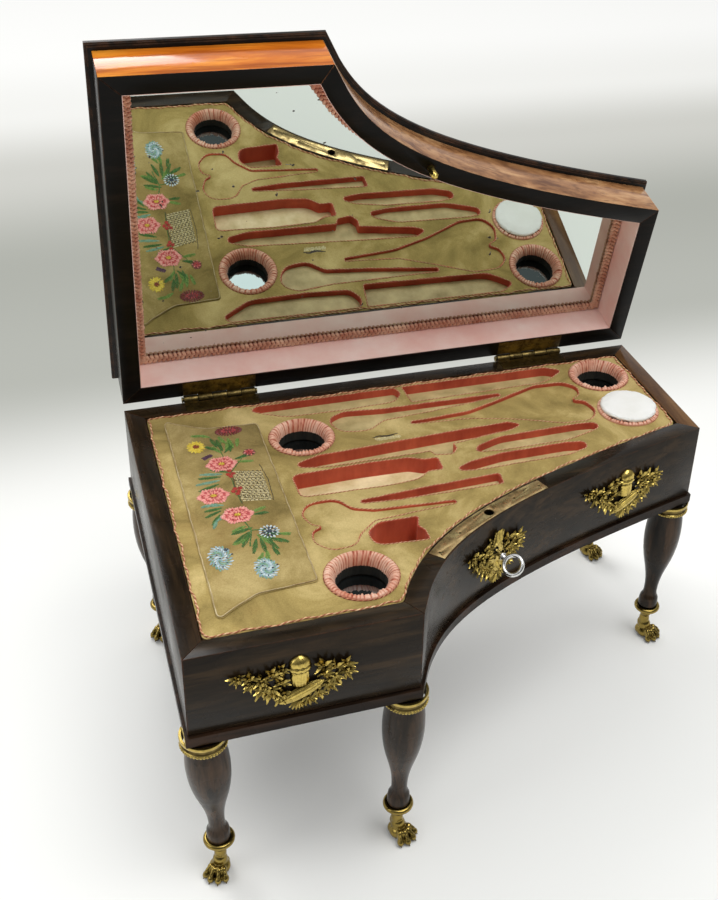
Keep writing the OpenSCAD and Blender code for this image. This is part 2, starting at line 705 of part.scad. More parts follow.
// A lion's paw under a ring, pointing along x: four knuckled toes, each a profile given a width
toe_spread = 19;
toe_w = 3.5;
TOE = [[0, 0], [8.6, 0], [9.6, 0.5], [11, 0], [11.2, 0.9], [10.3, 2.4], [9.2, 3.6], [8, 4], [7.4, 5.2],
    [6.3, 6.3], [4.8, 6.8], [3.6, 6.9], [2, 8.2], [0, 8.6]];
module paw(i) {
    p = leg_at(i) + FOOT_SHIFT[i];
    in_frame(gilt) translate([p.x, p.y, 0]) rotate([0, 0, PAW_TURN[i]]) {
        rotate_extrude() polygon(concat(
            [[0, ring_z + 0.4], [foot_r - 0.6, ring_z + 0.4]],
            [for (k = [0:8]) [foot_r + 0.5, ring_z] + ring_d / 2 * [cos(150 - 30 * k), sin(150 - 30 * k)]],
            [[ankle_r + 0.7, ring_z - 3.8], [ankle_r, ring_z - 6], [ankle_r - 0.2, ring_z - 10],
                [ankle_r + 0.4, 8.5], [ankle_r + 1.4, 5], [ankle_r + 1.6, 2], [ankle_r + 1, 0], [0, 0]]));
        for (k = [-1.5, -0.5, 0.5, 1.5]) rotate([0, 0, k * toe_spread]) rotate([90, 0, 0])
            translate([0, 0, -toe_w / 2]) linear_extrude(toe_w) polygon(TOE);
    }
}

module front_left_collar() { collar(0); }
module front_left_leg() { turned_leg(0); }
module front_left_paw() { paw(0); }
module cheek_right_collar() { collar(1); }
module cheek_right_leg() { turned_leg(1); }
module cheek_right_paw() { paw(1); }
module tail_front_collar() { collar(2); }
module tail_front_leg() { turned_leg(2); }
module tail_front_paw() { paw(2); }
module back_right_collar() { collar(3); }
module back_right_leg() { turned_leg(3); }
module back_right_paw() { paw(3); }
module back_left_collar() { collar(4); }
module back_left_leg() { turned_leg(4); }
module back_left_paw() { paw(4); }

// Lid, drawn closed and then opened about the hinge axis

module lid_board() {
    in_lid(ebony) {
        t = lid_board_t;
        for (k = [[1.2, 0, 0.17], [0.4, 0.16, 0.15], [0, 0.3, 0.4], [0.3, 0.69, 0.11], [0.9, 0.79, 0.11],
            [board_round, 0.89, 0.11]])
            slab(grow(plan, lid_out - k[0]), board_z + k[1] * t, k[2] * t);
    }
}

lid_wall_h = lid_h - seam;

module lid_spine_wall() {
    in_lid(rosewood) difference() {
        band(BACK_RIGHT, BACK_LEFT, 0, -wall_t, lid_z, lid_wall_h);
        for (x = hinge_places) leaf_mortise(x, lid_z - 1);
        screw_holes(lid_z + leaf_t, 1);
    }
}
module lid_keyboard_end_wall() {
    in_lid(rosewood) band(BACK_LEFT, CORNERS, 0, -wall_t, lid_z, lid_wall_h);
}
module lid_cheek_wall() {
    in_lid("#8a4a1e") band(FRONT_LEFT, CHEEK_RIGHT, 0, -wall_t, lid_z, lid_wall_h);
}
module lid_bentside_wall() {
    in_lid("#6d3f2e") difference() {
        band(CHEEK_RIGHT, TAIL_FRONT, 0, -wall_t, lid_z, lid_wall_h);
        catch_axis() translate([0, 0, lid_z - 1]) cylinder(r = catch_r, h = 1 + catch_root);
    }
}
module lid_tail_wall() {
    in_lid(rosewood) band(TAIL_FRONT, BACK_RIGHT, 0, -wall_t, lid_z, lid_wall_h);
}

mirror_z = board_z - backing_t - mirror_t;

module mirror_glass() {
    in_lid("#c8d4d6") slab(grow(plan, -wall_t), mirror_z, mirror_t);
}
module mirror_backing() {
    in_lid("#6b5a48") slab(grow(plan, -wall_t), board_z - backing_t, backing_t);
}
module lid_lining() {
    in_lid(pink_paper) difference() {
        slab(grow(plan, -wall_t), lid_z + 0.4, mirror_z - lid_z - 0.4);
        slab(grow(plan, -wall_t - lining_t), lid_z, mirror_z - lid_z + 1);
    }
}

// A round cord laid in the corner between lining and mirror, built of level layers
module mirror_gimp() {
    in_lid(silk_pink) {
        layers = 7;
        r = gimp_d / 2;
        mid = -wall_t - lining_t - r;
        for (k = [0:layers - 1]) {
            low = -r + gimp_d * k / layers;
            half = sqrt(r * r - pow(low + gimp_d / layers / 2, 2));
            sink = k > layers / 2 ? eps : 0;
            rise = k < (layers - 1) / 2 ? eps : 0;
            difference() {
                slab(grow(plan, mid + half), mirror_z - r + low - sink, gimp_d / layers + sink + rise);
                slab(grow(plan, mid - half), mirror_z - r + low - 1, gimp_d / layers + 2);
            }
        }
    }
}

// A brass post with a notch that the bolt enters
catch_len = 8.5;
catch_root = 6;
module lid_catch() {
    in_lid(gilt) catch_axis() difference() {
        union() {
            translate([0, 0, lid_z - catch_len + 1.2])
                cylinder(r = catch_r - 0.05, h = catch_len + catch_root - 1.2);
            translate([0, 0, lid_z - catch_len]) cylinder(r1 = catch_r - 1, r2 = catch_r - 0.05, h = 1.2);
        }
        translate([catch_r - 0.9, -catch_r - 1, bolt_z - 0.4])
            cube([catch_r, 2 * catch_r + 2, bolt_h + 0.8]);
    }
}

// Tray

// The pockets in the tray, which the linings then narrow to the recesses' outlines
module recess_pocket() {
    for (r = RECESSES) slab(grow(recess_outline(r), red_t), tray_z - r[0], r[0] + 1);
}

module at_sockets() {
    for (s = SOCKETS) translate([laid(s.x, s.y).x, laid(s.x, s.y).y, tray_z]) children();
}

socket_hole_r = socket_r - 0.6;

module tray_core() {
    in_frame("#8b6a45") difference() {
        slab(tray_plan, core_z, core_t);
        recess_pocket();
        at_sockets() translate([0, 0, -socket_deep - 1]) cylinder(r = socket_hole_r, h = socket_deep + 1);
    }
}

module tray_velvet() {
    in_frame(velvet) difference() {
        slab(tray_plan, tray_z - velvet_t, velvet_t);
        recess_pocket();
        at_sockets() translate([0, 0, -2]) cylinder(r = socket_hole_r, h = 4);
    }
}

module recess_linings() {
    in_frame(brick_red) for (r = RECESSES) difference() {
        slab(grow(recess_outline(r), red_t), tray_z - r[0] + red_t, r[0] - red_t);
        slab(recess_outline(r), tray_z - r[0], r[0] + 1);
    }
}

module recess_floors() {
    in_frame("#cdbf93") for (r = RECESSES) slab(grow(recess_outline(r), red_t), tray_z - r[0], red_t);
}

module recess_edging() {
    in_frame(copper_cord) for (r = RECESSES) difference() {
        slab(grow(recess_outline(r), edging_w), tray_z, 0.5);
        slab(recess_outline(r), tray_z - 1, 3);
    }
}

module tray_edging() {
    in_frame(copper_cord) difference() {
        slab(grow(tray_plan, -0.1), tray_z, 0.6);
        slab(grow(tray_plan, -1.5), tray_z - 1, 3);
    }
}

// A ruched ring whose inside falls away to the socket's wall
module socket_rings() {
    o = socket_hole_r;
    i = socket_in_r;
    in_frame(silk_pink) at_sockets() rotate_extrude() polygon([[i, -socket_deep], [o, -socket_deep],
        [o, 0], [o + 1, 0.05], [o + 0.9, 0.7], [o - 0.2, 1], [o - 1.4, 0.5], [o - 2.6, -1.2],
        [i + 0.4, -3.6], [i, -5]]);
}

module socket_mirrors() {
    in_frame("#8fa0a4") at_sockets() translate([0, 0, -socket_deep - 1]) cylinder(r = socket_hole_r, h = 1);
}

module embroidered_panel() {
    in_frame(velvet) {
        slab(panel_outline, tray_z, panel_h * 0.5);
        slab(grow(panel_outline, -0.7), tray_z + panel_h * 0.5, panel_h * 0.3);
        slab(grow(panel_outline, -1.6), tray_z + panel_h * 0.8, panel_h * 0.2);
    }
}

// A round cushion: crown, swelling edge, and sides drawn in to the socket
cushion_fit = 0.5;
module pincushion() {
    r = cushion_r;
    foot = socket_in_r - cushion_fit;
    low = 0.3 - socket_deep;
    in_frame("#f2f0e8") translate([cushion_at.x, cushion_at.y, tray_z]) rotate_extrude() polygon(concat(
        [[0, low], [foot - 1.2, low], [foot, low + 1.1], [foot, -4.6]],
        [for (k = [0:4]) bezier([foot, -3.4], [foot, 0], [r - 3, 1.4], [r - 1, 1.6], k / 4)],
        [for (k = [1:4]) bezier([r - 1, 1.6], [r + 0.1, 1.8], [r, 2.6], [r - 0.8, 3], k / 4)],
        [for (k = [1:6]) bezier([r - 0.8, 3], [r - 4, cushion_h - 0.6], [r / 2, cushion_h],
            [0, cushion_h], k / 6)]));
}

spine_wall();
keyboard_end_wall();
cheek_wall();
bentside_wall();
tail_wall();
plinth_board();
tray_bearers();
lock_case();
lock_plate();
lock_bolt();
lock_plate_pins();
key();
cheek_mount();
keyhole_mount();
tail_mount();
left_hinge_case_leaf();
left_hinge_lid_leaf();
left_hinge_pin();
right_hinge_case_leaf();
right_hinge_lid_leaf();
right_hinge_pin();
hinge_case_screws();
hinge_lid_screws();
front_left_collar();
front_left_leg();
front_left_paw();
cheek_right_collar();
cheek_right_leg();
cheek_right_paw();
tail_front_collar();
tail_front_leg();
tail_front_paw();
back_right_collar();
back_right_leg();
back_right_paw();
back_left_collar();
back_left_leg();
back_left_paw();
lid_board();
lid_spine_wall();
lid_keyboard_end_wall();
lid_cheek_wall();
lid_bentside_wall();
lid_tail_wall();
mirror_glass();
mirror_backing();
mirror_gimp();
lid_lining();
lid_catch();
tray_core();
tray_velvet();
tray_edging();
recess_linings();
recess_floors();
recess_edging();
socket_rings();
socket_mirrors();
embroidered_panel();
pincushion();
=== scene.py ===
# %% [markdown]
# # A sewing box in the shape of a small grand piano
# The real object is a work box of about 1820: a dark rosewood case on five turned legs, a lid with a
# mirror, and a velvet tray with recesses for the tools. The woodwork, hinges, lock and tray were drawn in
# CAD, so their sizes are fixed. This lesson loads them as a frame, gives every surface its finish, and
# models by hand what CAD is poor at: cords, ruched silk, embroidery, cast gilt mounts and lion paws.

# %% Load the frame
import json
import math
import random

import bmesh
import bpy
from mathutils import Matrix, Vector

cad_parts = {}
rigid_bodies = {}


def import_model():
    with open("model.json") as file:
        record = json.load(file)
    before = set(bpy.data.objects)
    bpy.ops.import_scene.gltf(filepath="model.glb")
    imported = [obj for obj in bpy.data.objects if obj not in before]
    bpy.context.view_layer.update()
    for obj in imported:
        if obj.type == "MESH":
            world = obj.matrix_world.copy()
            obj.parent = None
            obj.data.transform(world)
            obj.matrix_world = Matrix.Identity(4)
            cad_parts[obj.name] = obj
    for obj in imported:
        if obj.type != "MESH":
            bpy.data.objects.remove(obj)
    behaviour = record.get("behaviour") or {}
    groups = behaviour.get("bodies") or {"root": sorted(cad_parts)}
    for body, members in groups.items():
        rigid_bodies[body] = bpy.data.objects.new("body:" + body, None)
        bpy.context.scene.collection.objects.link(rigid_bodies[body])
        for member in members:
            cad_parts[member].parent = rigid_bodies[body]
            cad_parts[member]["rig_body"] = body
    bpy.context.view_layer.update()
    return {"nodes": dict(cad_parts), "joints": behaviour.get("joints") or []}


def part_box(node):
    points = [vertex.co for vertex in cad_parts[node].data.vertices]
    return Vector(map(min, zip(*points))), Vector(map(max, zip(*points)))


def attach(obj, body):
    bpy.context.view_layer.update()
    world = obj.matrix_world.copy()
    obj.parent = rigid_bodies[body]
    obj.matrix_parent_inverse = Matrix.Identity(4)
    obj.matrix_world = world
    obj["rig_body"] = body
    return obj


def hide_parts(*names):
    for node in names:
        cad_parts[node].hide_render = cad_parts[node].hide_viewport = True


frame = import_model()
nodes = frame["nodes"]

# %% [markdown]
# ## Measures
# The case was drawn in millimetres, from the left end of its straight spine and from the front of the
# short cheek. Blender works in metres about the middle of the whole. Two small helpers turn the first
# into the second, and a third turns a point of the closed lid to where the open lid has it. That way
# every later step can be written in the maker's own measures.

# %% Places on the case and on the lid
MM = 0.001
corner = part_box("cheek_wall")[0]
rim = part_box("cheek_wall")[1].z
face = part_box("tray_velvet")[1].z
hinge = next(j for j in frame["joints"] if j["name"] == "lid_hinge")
OPEN = math.radians(-76.5)


def at(x, y, z=0.0):
    """A point in the case's millimetres, z from the floor, in metres."""
    return Vector((corner.x + x * MM, corner.y + y * MM, z * MM))


AXIS = at(0, 202.8, 150.15)
opening = Matrix.Translation(AXIS) @ Matrix.Rotation(OPEN, 4, "X") @ Matrix.Translation(-AXIS)


def at_lid(x, y, z):
    """The same for a point of the lid, given where it lies when the lid is closed."""
    return opening @ at(x, y, z)


print("rim at", round(rim / MM, 2), "velvet at", round(face / MM, 2), "mm")

# %% [markdown]
# ## Camera
# The camera comes first, because it says which surfaces need most care. It stands where the photographer
# stood: a little to the left, looking down by about 31 degrees, with a slight tilt. The picture was
# cropped off centre, which the lens shift repeats.

# %% Camera
lens = bpy.data.cameras.new("camera")
camera = bpy.data.objects.new("camera", lens)
bpy.context.scene.collection.objects.link(camera)
lens.sensor_width = 36
lens.lens = 49.5
lens.shift_x = -0.0858
lens.shift_y = -0.0696
azimuth, elevation, tilt = (math.radians(a) for a in (-20.25, 31.01, 2.94))
back = Vector((math.sin(azimuth) * math.cos(elevation), -math.cos(azimuth) * math.cos(elevation),
               math.sin(elevation)))
turn = back.to_track_quat("Z", "Y").to_matrix().to_4x4() @ Matrix.Rotation(tilt, 4, "Z")
camera.matrix_world = Matrix.Translation(at(-37.3, -388.2, 514.5)) @ turn
lens.clip_start, lens.clip_end = 0.02, 30
bpy.context.scene.camera = camera
bpy.context.scene.view_settings.view_transform = "Standard"
print("camera at", [round(v, 3) for v in camera.location])

# %% [markdown]
# ## Helpers for modelling
# The operators of edit mode act on whatever is selected, so two helpers do the same small things every
# time: clear the selection and start a piece, and end a piece by putting its place into its mesh. A
# finished piece stands at the origin, unturned and unscaled, as the CAD pieces do.


# %% Start, select and finish
def clear():
    if bpy.context.mode != "OBJECT":
        bpy.ops.object.mode_set(mode="OBJECT")
    bpy.ops.object.select_all(action="DESELECT")


def pick(*objects):
    clear()
    for o in objects:
        o.select_set(True)
    bpy.context.view_layer.objects.active = objects[0]


def started(name):
    """The primitive just added, with a name and its place put into its mesh."""
    piece = bpy.context.active_object
    piece.name = name
    bpy.ops.object.transform_apply(location=True, rotation=True, scale=True)
    return piece


def joined(name, pieces):
    """Several pieces as one mesh."""
    pick(*pieces)
    if len(pieces) > 1:
        bpy.ops.object.join()
    piece = bpy.context.active_object
    bpy.ops.object.transform_apply(location=True, rotation=True, scale=True)
    piece.name = name
    return piece


def copied(piece, matrix):
    """A copy with its own mesh, moved by a matrix."""
    other = piece.copy()
    other.data = piece.data.copy()
    other.data.transform(matrix)
    bpy.context.scene.collection.objects.link(other)
    return other


def applied(piece, kind, **settings):
    """Adds a modifier with these settings and applies it."""
    pick(piece)
    m = piece.modifiers.new(kind.lower(), kind)
    for key, value in settings.items():
        setattr(m, key, value)
    bpy.ops.object.modifier_apply(modifier=m.name)


def smoothed(piece, angle=35):
    pick(piece)
    bpy.ops.object.shade_smooth_by_angle(angle=math.radians(angle))


def dressed(node, name, edge=0.0, segments=2, angle=35, flat=0.4):
    """A copy of a CAD piece with whole faces, softened edges and smooth curves, in the CAD piece's place."""
    piece = copied(nodes[node], Matrix.Identity(4))
    piece.name = name
    for key in list(piece.keys()):
        del piece[key]
    piece.parent = None
    piece.matrix_world = Matrix.Identity(4)
    piece.data.materials.clear()
    pick(piece)
    bpy.ops.object.mode_set(mode="EDIT")
    bpy.ops.mesh.select_all(action="SELECT")
    bpy.ops.mesh.remove_doubles(threshold=0.00001)
    bpy.ops.mesh.customdata_custom_splitnormals_clear()
    bpy.ops.mesh.dissolve_limited(angle_limit=math.radians(flat))
    bpy.ops.object.mode_set(mode="OBJECT")
    if edge:
        applied(piece, "BEVEL", width=edge * MM, segments=segments, limit_method="ANGLE",
                angle_limit=math.radians(40), harden_normals=False, use_clamp_overlap=True)
    smoothed(piece, angle)
    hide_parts(node)
    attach(piece, nodes[node]["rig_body"])
    return piece


print("helpers ready")

# %% [markdown]
# ## Helpers for finishes
# Every finish is a Principled shader fed by a few procedural nodes. The helper below makes nodes in one
# line each. Effects that several finishes share, such as the figure of wood, tarnish or the nap of
# velvet, are node groups with named inputs, built once and placed with other values in each material.


# %% Node helper and an empty group
class Nodes:
    """Adds and joins nodes of one tree, from left to right."""

    def __init__(self, tree):
        self.tree = tree
        self.count = 0

    def add(self, kind, inputs=None, **settings):
        node = self.tree.nodes.new(kind)
        self.count += 1
        node.location = (self.count % 8 * 190, -self.count // 8 * 260)
        for key, value in settings.items():
            setattr(node, key, value)
        for key, value in (inputs or {}).items():
            if isinstance(value, bpy.types.NodeSocket):
                self.tree.links.new(value, node.inputs[key])
            else:
                node.inputs[key].default_value = value
        return node

    def ramp(self, value, stops, smooth=False):
        node = self.add("ShaderNodeValToRGB", {0: value})
        node.color_ramp.interpolation = "EASE" if smooth else "LINEAR"
        marks = node.color_ramp.elements
        while len(marks) < len(stops):
            marks.new(0.5)
        for mark, (place, colour) in zip(marks, stops):
            mark.position = place
            mark.color = colour if hasattr(colour, "__len__") else (colour, colour, colour, 1)
        return node.outputs[0]

    def maths(self, operation, a, b=0.0, clamp=False):
        return self.add("ShaderNodeMath", {0: a, 1: b}, operation=operation, use_clamp=clamp).outputs[0]

    def mixed(self, amount, a, b, blend="MIX"):
        node = self.add("ShaderNodeMix", data_type="RGBA", blend_type=blend)
        for socket, value in ((node.inputs[0], amount), (node.inputs[6], a), (node.inputs[7], b)):
            if isinstance(value, bpy.types.NodeSocket):
                self.tree.links.new(value, socket)
            else:
                socket.default_value = value
        return node.outputs[2]

    def noise(self, vector, scale, detail=3.0, rough=0.5, warp=0.0):
        return self.add("ShaderNodeTexNoise", {"Vector": vector, "Scale": scale, "Detail": detail,
                                               "Roughness": rough, "Distortion": warp}).outputs[0]

    def place(self, scale=(1, 1, 1), turn=(0, 0, 0), shift=(0, 0, 0), source="Object"):
        coordinates = self.add("ShaderNodeTexCoord").outputs[source]
        return self.add("ShaderNodeMapping", {"Vector": coordinates, "Scale": scale, "Rotation": turn,
                                              "Location": shift}).outputs[0]


def group(name, inputs, outputs):
    """An empty node group with named sockets, given as {name: (kind, value)}."""
    tree = bpy.data.node_groups.new(name, "ShaderNodeTree")
    for socket, (kind, value) in inputs.items():
        made = tree.interface.new_socket(name=socket, in_out="INPUT", socket_type="NodeSocket" + kind)
        if value is not None:
            made.default_value = value
    for socket, kind in outputs.items():
        tree.interface.new_socket(name=socket, in_out="OUTPUT", socket_type="NodeSocket" + kind)
    n = Nodes(tree)
    return tree, n, n.add("NodeGroupInput").outputs, n.add("NodeGroupOutput").inputs


def rgb(red, green, blue):
    """A colour as it is read from a screen, 0 to 255, made linear."""
    parts = [v / 255 for v in (red, green, blue)]
    return (*(v / 12.92 if v <= 0.04045 else ((v + 0.055) / 1.055) ** 2.4 for v in parts), 1)


def finish(name, **values):
    """A new material: its node helper, and its Principled shader with plain values set."""
    material = bpy.data.materials.new(name)
    material.use_nodes = True
    material.node_tree.nodes.clear()
    n = Nodes(material.node_tree)
    shader = n.add("ShaderNodeBsdfPrincipled")
    n.add("ShaderNodeOutputMaterial", {"Surface": shader.outputs[0]})
    for key, value in values.items():
        shader.inputs[key.replace("_", " ")].default_value = value
    return material, n, shader


def feed(n, shader, **sockets):
    for key, value in sockets.items():
        n.tree.links.new(value, shader.inputs[key.replace("_", " ")])


def bump(n, height, strength=0.3, distance=0.0002):
    return n.add("ShaderNodeBump", {"Height": height, "Strength": strength, "Distance": distance}).outputs[0]


def placed_group(n, tree, **inputs):
    node = n.add("ShaderNodeGroup", node_tree=tree)
    for key, value in inputs.items():
        socket = node.inputs[key.replace("_", " ")]
        if isinstance(value, bpy.types.NodeSocket):
            n.tree.links.new(value, socket)
        else:
            socket.default_value = value
    return node.outputs


def coat(material, *objects):
    """Gives the material to objects or CAD nodes."""
    for o in objects:
        o = nodes[o] if isinstance(o, str) else o
        if len(o.data.materials):
            for i in range(len(o.data.materials)):
                o.data.materials[i] = material
        else:
            o.data.materials.append(material)


print("finish helpers ready")

# %% [markdown]
# ## Edge wear
# Polished wood and old gilding wear first at their edges. The Bevel node gives the normal that the
# surface would have with rounded edges. Where that differs from the true one, there is an edge, and a
# noise breaks the line up so that the wear looks rubbed and not drawn.

# %% Edge wear group
edge_wear, n, have, out = group("edge_wear", {"Width": ("Float", 0.0006), "Amount": ("Float", 1.0),
                                              "Break Up": ("Float", 180.0)}, {"Mask": "Float"})
rounded_normal = n.add("ShaderNodeBevel", {"Radius": have["Width"]}, samples=4).outputs[0]
true_normal = n.add("ShaderNodeNewGeometry").outputs["Normal"]
agree = n.add("ShaderNodeVectorMath", {0: rounded_normal, 1: true_normal}, operation="DOT_PRODUCT").outputs["Value"]
edge = n.ramp(n.maths("SUBTRACT", 1.0, agree), [(0.01, 0.0), (0.16, 1.0)])
rub = n.ramp(n.noise(n.place(), have["Break Up"], 4, 0.6), [(0.38, 0.0), (0.62, 1.0)])
n.tree.links.new(n.maths("MULTIPLY", n.maths("MULTIPLY", edge, rub), have["Amount"], True), out["Mask"])
print("group", edge_wear.name)

# %% [markdown]
# ## Wood
# Rosewood shows long wavy figure, fine dark pores along the grain and a French polish over them. The
# group stretches one noise strongly along the grain for the figure and another for the pores, and mixes
# three colours by the first. Scratches are thin stretched noise at a random-looking angle.

# %% Wood group
wood, n, have, out = group(
    "wood_figure",
    {"Vector": ("Vector", None), "Dark": ("Color", (0.01, 0.006, 0.004, 1)),
     "Middle": ("Color", (0.04, 0.02, 0.012, 1)), "Light": ("Color", (0.1, 0.05, 0.03, 1)),
     "Figure": ("Float", 16.0), "Pores": ("Float", 420.0), "Scratches": ("Float", 0.3)},
    {"Color": "Color", "Rough": "Float", "Height": "Float"})
sway = n.add("ShaderNodeTexNoise", {"Vector": have["Vector"], "Scale": 9.0, "Detail": 2.0}).outputs["Color"]
sway = n.add("ShaderNodeVectorMath", {0: sway, "Scale": 0.016}, operation="SCALE").outputs[0]
warped = n.add("ShaderNodeVectorMath", {0: have["Vector"], 1: sway}, operation="ADD").outputs[0]
figure_place = n.add("ShaderNodeMapping", {"Vector": warped, "Scale": (1.0, 7.0, 7.0)}).outputs[0]
figure = n.noise(figure_place, have["Figure"], 6, 0.62, 0.4)
colour = n.ramp(figure, [(0.3, 0.0), (0.7, 1.0)])
shade = n.mixed(n.maths("MULTIPLY", colour, 2.0, True), have["Dark"], have["Middle"])
shade = n.mixed(n.maths("MULTIPLY", n.maths("SUBTRACT", colour, 0.5), 2.0, True), shade, have["Light"])
pore_place = n.add("ShaderNodeMapping", {"Vector": have["Vector"], "Scale": (0.07, 1.0, 1.0)}).outputs[0]
pores = n.ramp(n.noise(pore_place, have["Pores"], 2, 0.5), [(0.36, 0.0), (0.46, 1.0)])
shade = n.mixed(n.maths("MULTIPLY", n.maths("SUBTRACT", 1.0, pores), 0.55), shade, have["Dark"])
scratch_place = n.add("ShaderNodeMapping", {"Vector": have["Vector"], "Scale": (0.12, 1.0, 1.0),
                                            "Rotation": (0.3, 0.9, 0.5)}).outputs[0]
scratch = n.maths("MULTIPLY", n.ramp(n.noise(scratch_place, 300.0, 1, 0.5), [(0.68, 0.0), (0.74, 1.0)]),
                  have["Scratches"])
shade = n.mixed(n.maths("MULTIPLY", scratch, 0.5), shade, have["Light"])
n.tree.links.new(shade, out["Color"])
patch = n.ramp(n.noise(have["Vector"], 24.0, 4, 0.6), [(0.35, 0.0), (0.7, 1.0)])
rough = n.maths("ADD", n.maths("MULTIPLY", patch, 0.16), n.maths("MULTIPLY", scratch, 0.3))
n.tree.links.new(rough, out["Rough"])
n.tree.links.new(n.maths("SUBTRACT", n.maths("MULTIPLY", pores, 0.6), scratch), out["Height"])
print("group", wood.name)


# %% Wood finishes
def wooden(name, dark, middle, light, turn=(0, 0, 0), shift=(0, 0, 0), shine=0.2, worn=None, polish=0.08,
           **values):
    """A polished wood; turn lays the grain, which runs along x, in the piece's direction."""
    material, n, shader = finish(name, Coat_Roughness=0.12, Specular_IOR_Level=0.1 + polish * 0.3)
    place = n.place(turn=turn, shift=shift)
    grain = placed_group(n, wood, Vector=place, Dark=dark, Middle=middle, Light=light, **values)
    colour = grain["Color"]
    if worn:
        wear = placed_group(n, edge_wear, Width=0.0009, Amount=0.9)["Mask"]
        colour = n.mixed(wear, colour, worn)
    rough = n.maths("ADD", grain["Rough"], shine)
    gloss = n.ramp(n.noise(place, 14.0, 3), [(0.3, 0.4 * polish), (0.7, polish)])
    feed(n, shader, Base_Color=colour, Roughness=rough, Coat_Weight=gloss,
         Normal=bump(n, grain["Height"], 0.25, 0.00008))
    return material


UPRIGHT = (0, math.radians(90), 0)
ACROSS = (0, 0, math.radians(90))
dark_wood = wooden("dark_rosewood", rgb(22, 16, 10), rgb(40, 31, 20), rgb(66, 50, 32), worn=rgb(84, 50, 30))
cross_wood = wooden("dark_rosewood_across", rgb(22, 16, 10), rgb(40, 30, 19), rgb(66, 48, 30), turn=ACROSS,
                    worn=rgb(96, 56, 32))
rim_wood = wooden("ebonised_rim", rgb(12, 10, 8), rgb(24, 19, 14), rgb(48, 35, 24), shine=0.26,
                  worn=rgb(96, 62, 40), polish=0.04)
plinth_wood = wooden("plinth_wood", rgb(20, 14, 10), rgb(42, 30, 21), rgb(70, 48, 34), shine=0.24, polish=0.04)
bright_wood = wooden("bright_veneer", rgb(140, 62, 10), rgb(200, 108, 26), rgb(246, 164, 56), shine=0.08,
                     polish=0.5, Figure=11.0, Pores=300.0)
faded_wood = wooden("faded_veneer", rgb(98, 60, 34), rgb(156, 110, 70), rgb(196, 152, 106), shine=0.2,
                    worn=rgb(200, 160, 120), polish=0.4)
warm_wood = wooden("warm_rim", rgb(72, 46, 26), rgb(98, 68, 40), rgb(130, 94, 56), turn=ACROSS,
                   worn=rgb(150, 104, 66), polish=0.2)
leg_wood = wooden("leg_wood", rgb(20, 15, 10), rgb(44, 34, 24), rgb(84, 62, 44), turn=UPRIGHT, shine=0.2,
                  polish=0.2)
black_wood = wooden("black_stain", rgb(8, 7, 5), rgb(14, 11, 8), rgb(28, 20, 14), shine=0.3, worn=rgb(90, 58, 38),
                    polish=0.02)
plain_wood = wooden("plain_wood", rgb(96, 68, 42), rgb(132, 98, 62), rgb(160, 122, 82), shine=0.4)
print("woods:", dark_wood.name, bright_wood.name, leg_wood.name)

# %% [markdown]
# ## Metals
# The mounts, collars and paws are cast brass, chased and gilt: bright yellow on the high points, brown in
# the hollows, partly from two hundred years of polish and dust and partly as painted shade. Ambient
# occlusion finds the hollows and darkens them. The hinges and the lock plate are plainer brass that has
# gone dull and spotted.

# %% Tarnish and painted shade group
tarnish_and_shade, n, have, out = group(
    "tarnish_and_shade", {"Bright": ("Color", (0.9, 0.7, 0.3, 1)), "Dull": ("Color", (0.2, 0.12, 0.04, 1)),
                "Reach": ("Float", 0.002), "Spots": ("Float", 0.4), "Size": ("Float", 300.0)},
    {"Color": "Color", "Dirt And Shade": "Float", "Height": "Float"})
# Painted shade: ambient occlusion darkens the hollows, and a noise adds real tarnish spots
hollow = n.add("ShaderNodeAmbientOcclusion", {"Distance": have["Reach"]}, samples=6).outputs["AO"]
deep = n.ramp(n.maths("SUBTRACT", 1.0, hollow), [(0.12, 0.0), (0.62, 1.0)])
spot = n.ramp(n.noise(n.place(), have["Size"], 4, 0.65), [(0.42, 0.0), (0.68, 1.0)])
dirt_and_shade = n.maths("MAXIMUM", deep, n.maths("MULTIPLY", spot, have["Spots"]))
n.tree.links.new(n.mixed(dirt_and_shade, have["Bright"], have["Dull"]), out["Color"])
n.tree.links.new(dirt_and_shade, out["Dirt And Shade"])
n.tree.links.new(n.noise(n.place(), 900.0, 3, 0.6), out["Height"])
print("group", tarnish_and_shade.name)


# %% Metal finishes
def metal(name, bright, dull, low=0.2, high=0.6, texture=0.25, **values):
    material, n, shader = finish(name, Metallic=1.0)
    age = placed_group(n, tarnish_and_shade, Bright=bright, Dull=dull, **values)
    rough = n.ramp(age["Dirt And Shade"], [(0.0, low), (1.0, high)])
    feed(n, shader, Base_Color=age["Color"], Roughness=rough, Normal=bump(n, age["Height"], texture, 0.0001))
    return material


gilt = metal("chased_gilt", rgb(216, 190, 104), rgb(58, 44, 14), 0.22, 0.5, Reach=0.0035, Spots=0.45)
# The collars' gilt: smoother, as burnished gilt is, and darker than the mounts' gilt as painted shade
gilt_rim_painted_shade = metal("burnished_gilt_painted_shade", rgb(196, 172, 96), rgb(58, 44, 16), 0.18, 0.4, 0.12, Reach=0.002, Spots=0.45)
# The paws' gilt is a darker copy of the gilt with a longer occlusion reach: painted shade near the floor
paw_gilt_painted_shade = metal("paw_gilt_painted_shade", rgb(158, 136, 72), rgb(30, 24, 9), 0.16, 0.45, Reach=0.0045, Spots=0.35)
old_brass = metal("old_brass", rgb(128, 110, 66), rgb(36, 29, 16), 0.32, 0.6, Spots=0.85)
lock_brass = metal("lock_plate_brass", rgb(226, 196, 140), rgb(104, 84, 50), 0.22, 0.55, Spots=0.8, Size=160.0)
steel = metal("polished_steel", rgb(232, 232, 230), rgb(90, 88, 84), 0.16, 0.5, 0.1, Spots=0.3)
print("metals:", gilt.name, old_brass.name, steel.name)

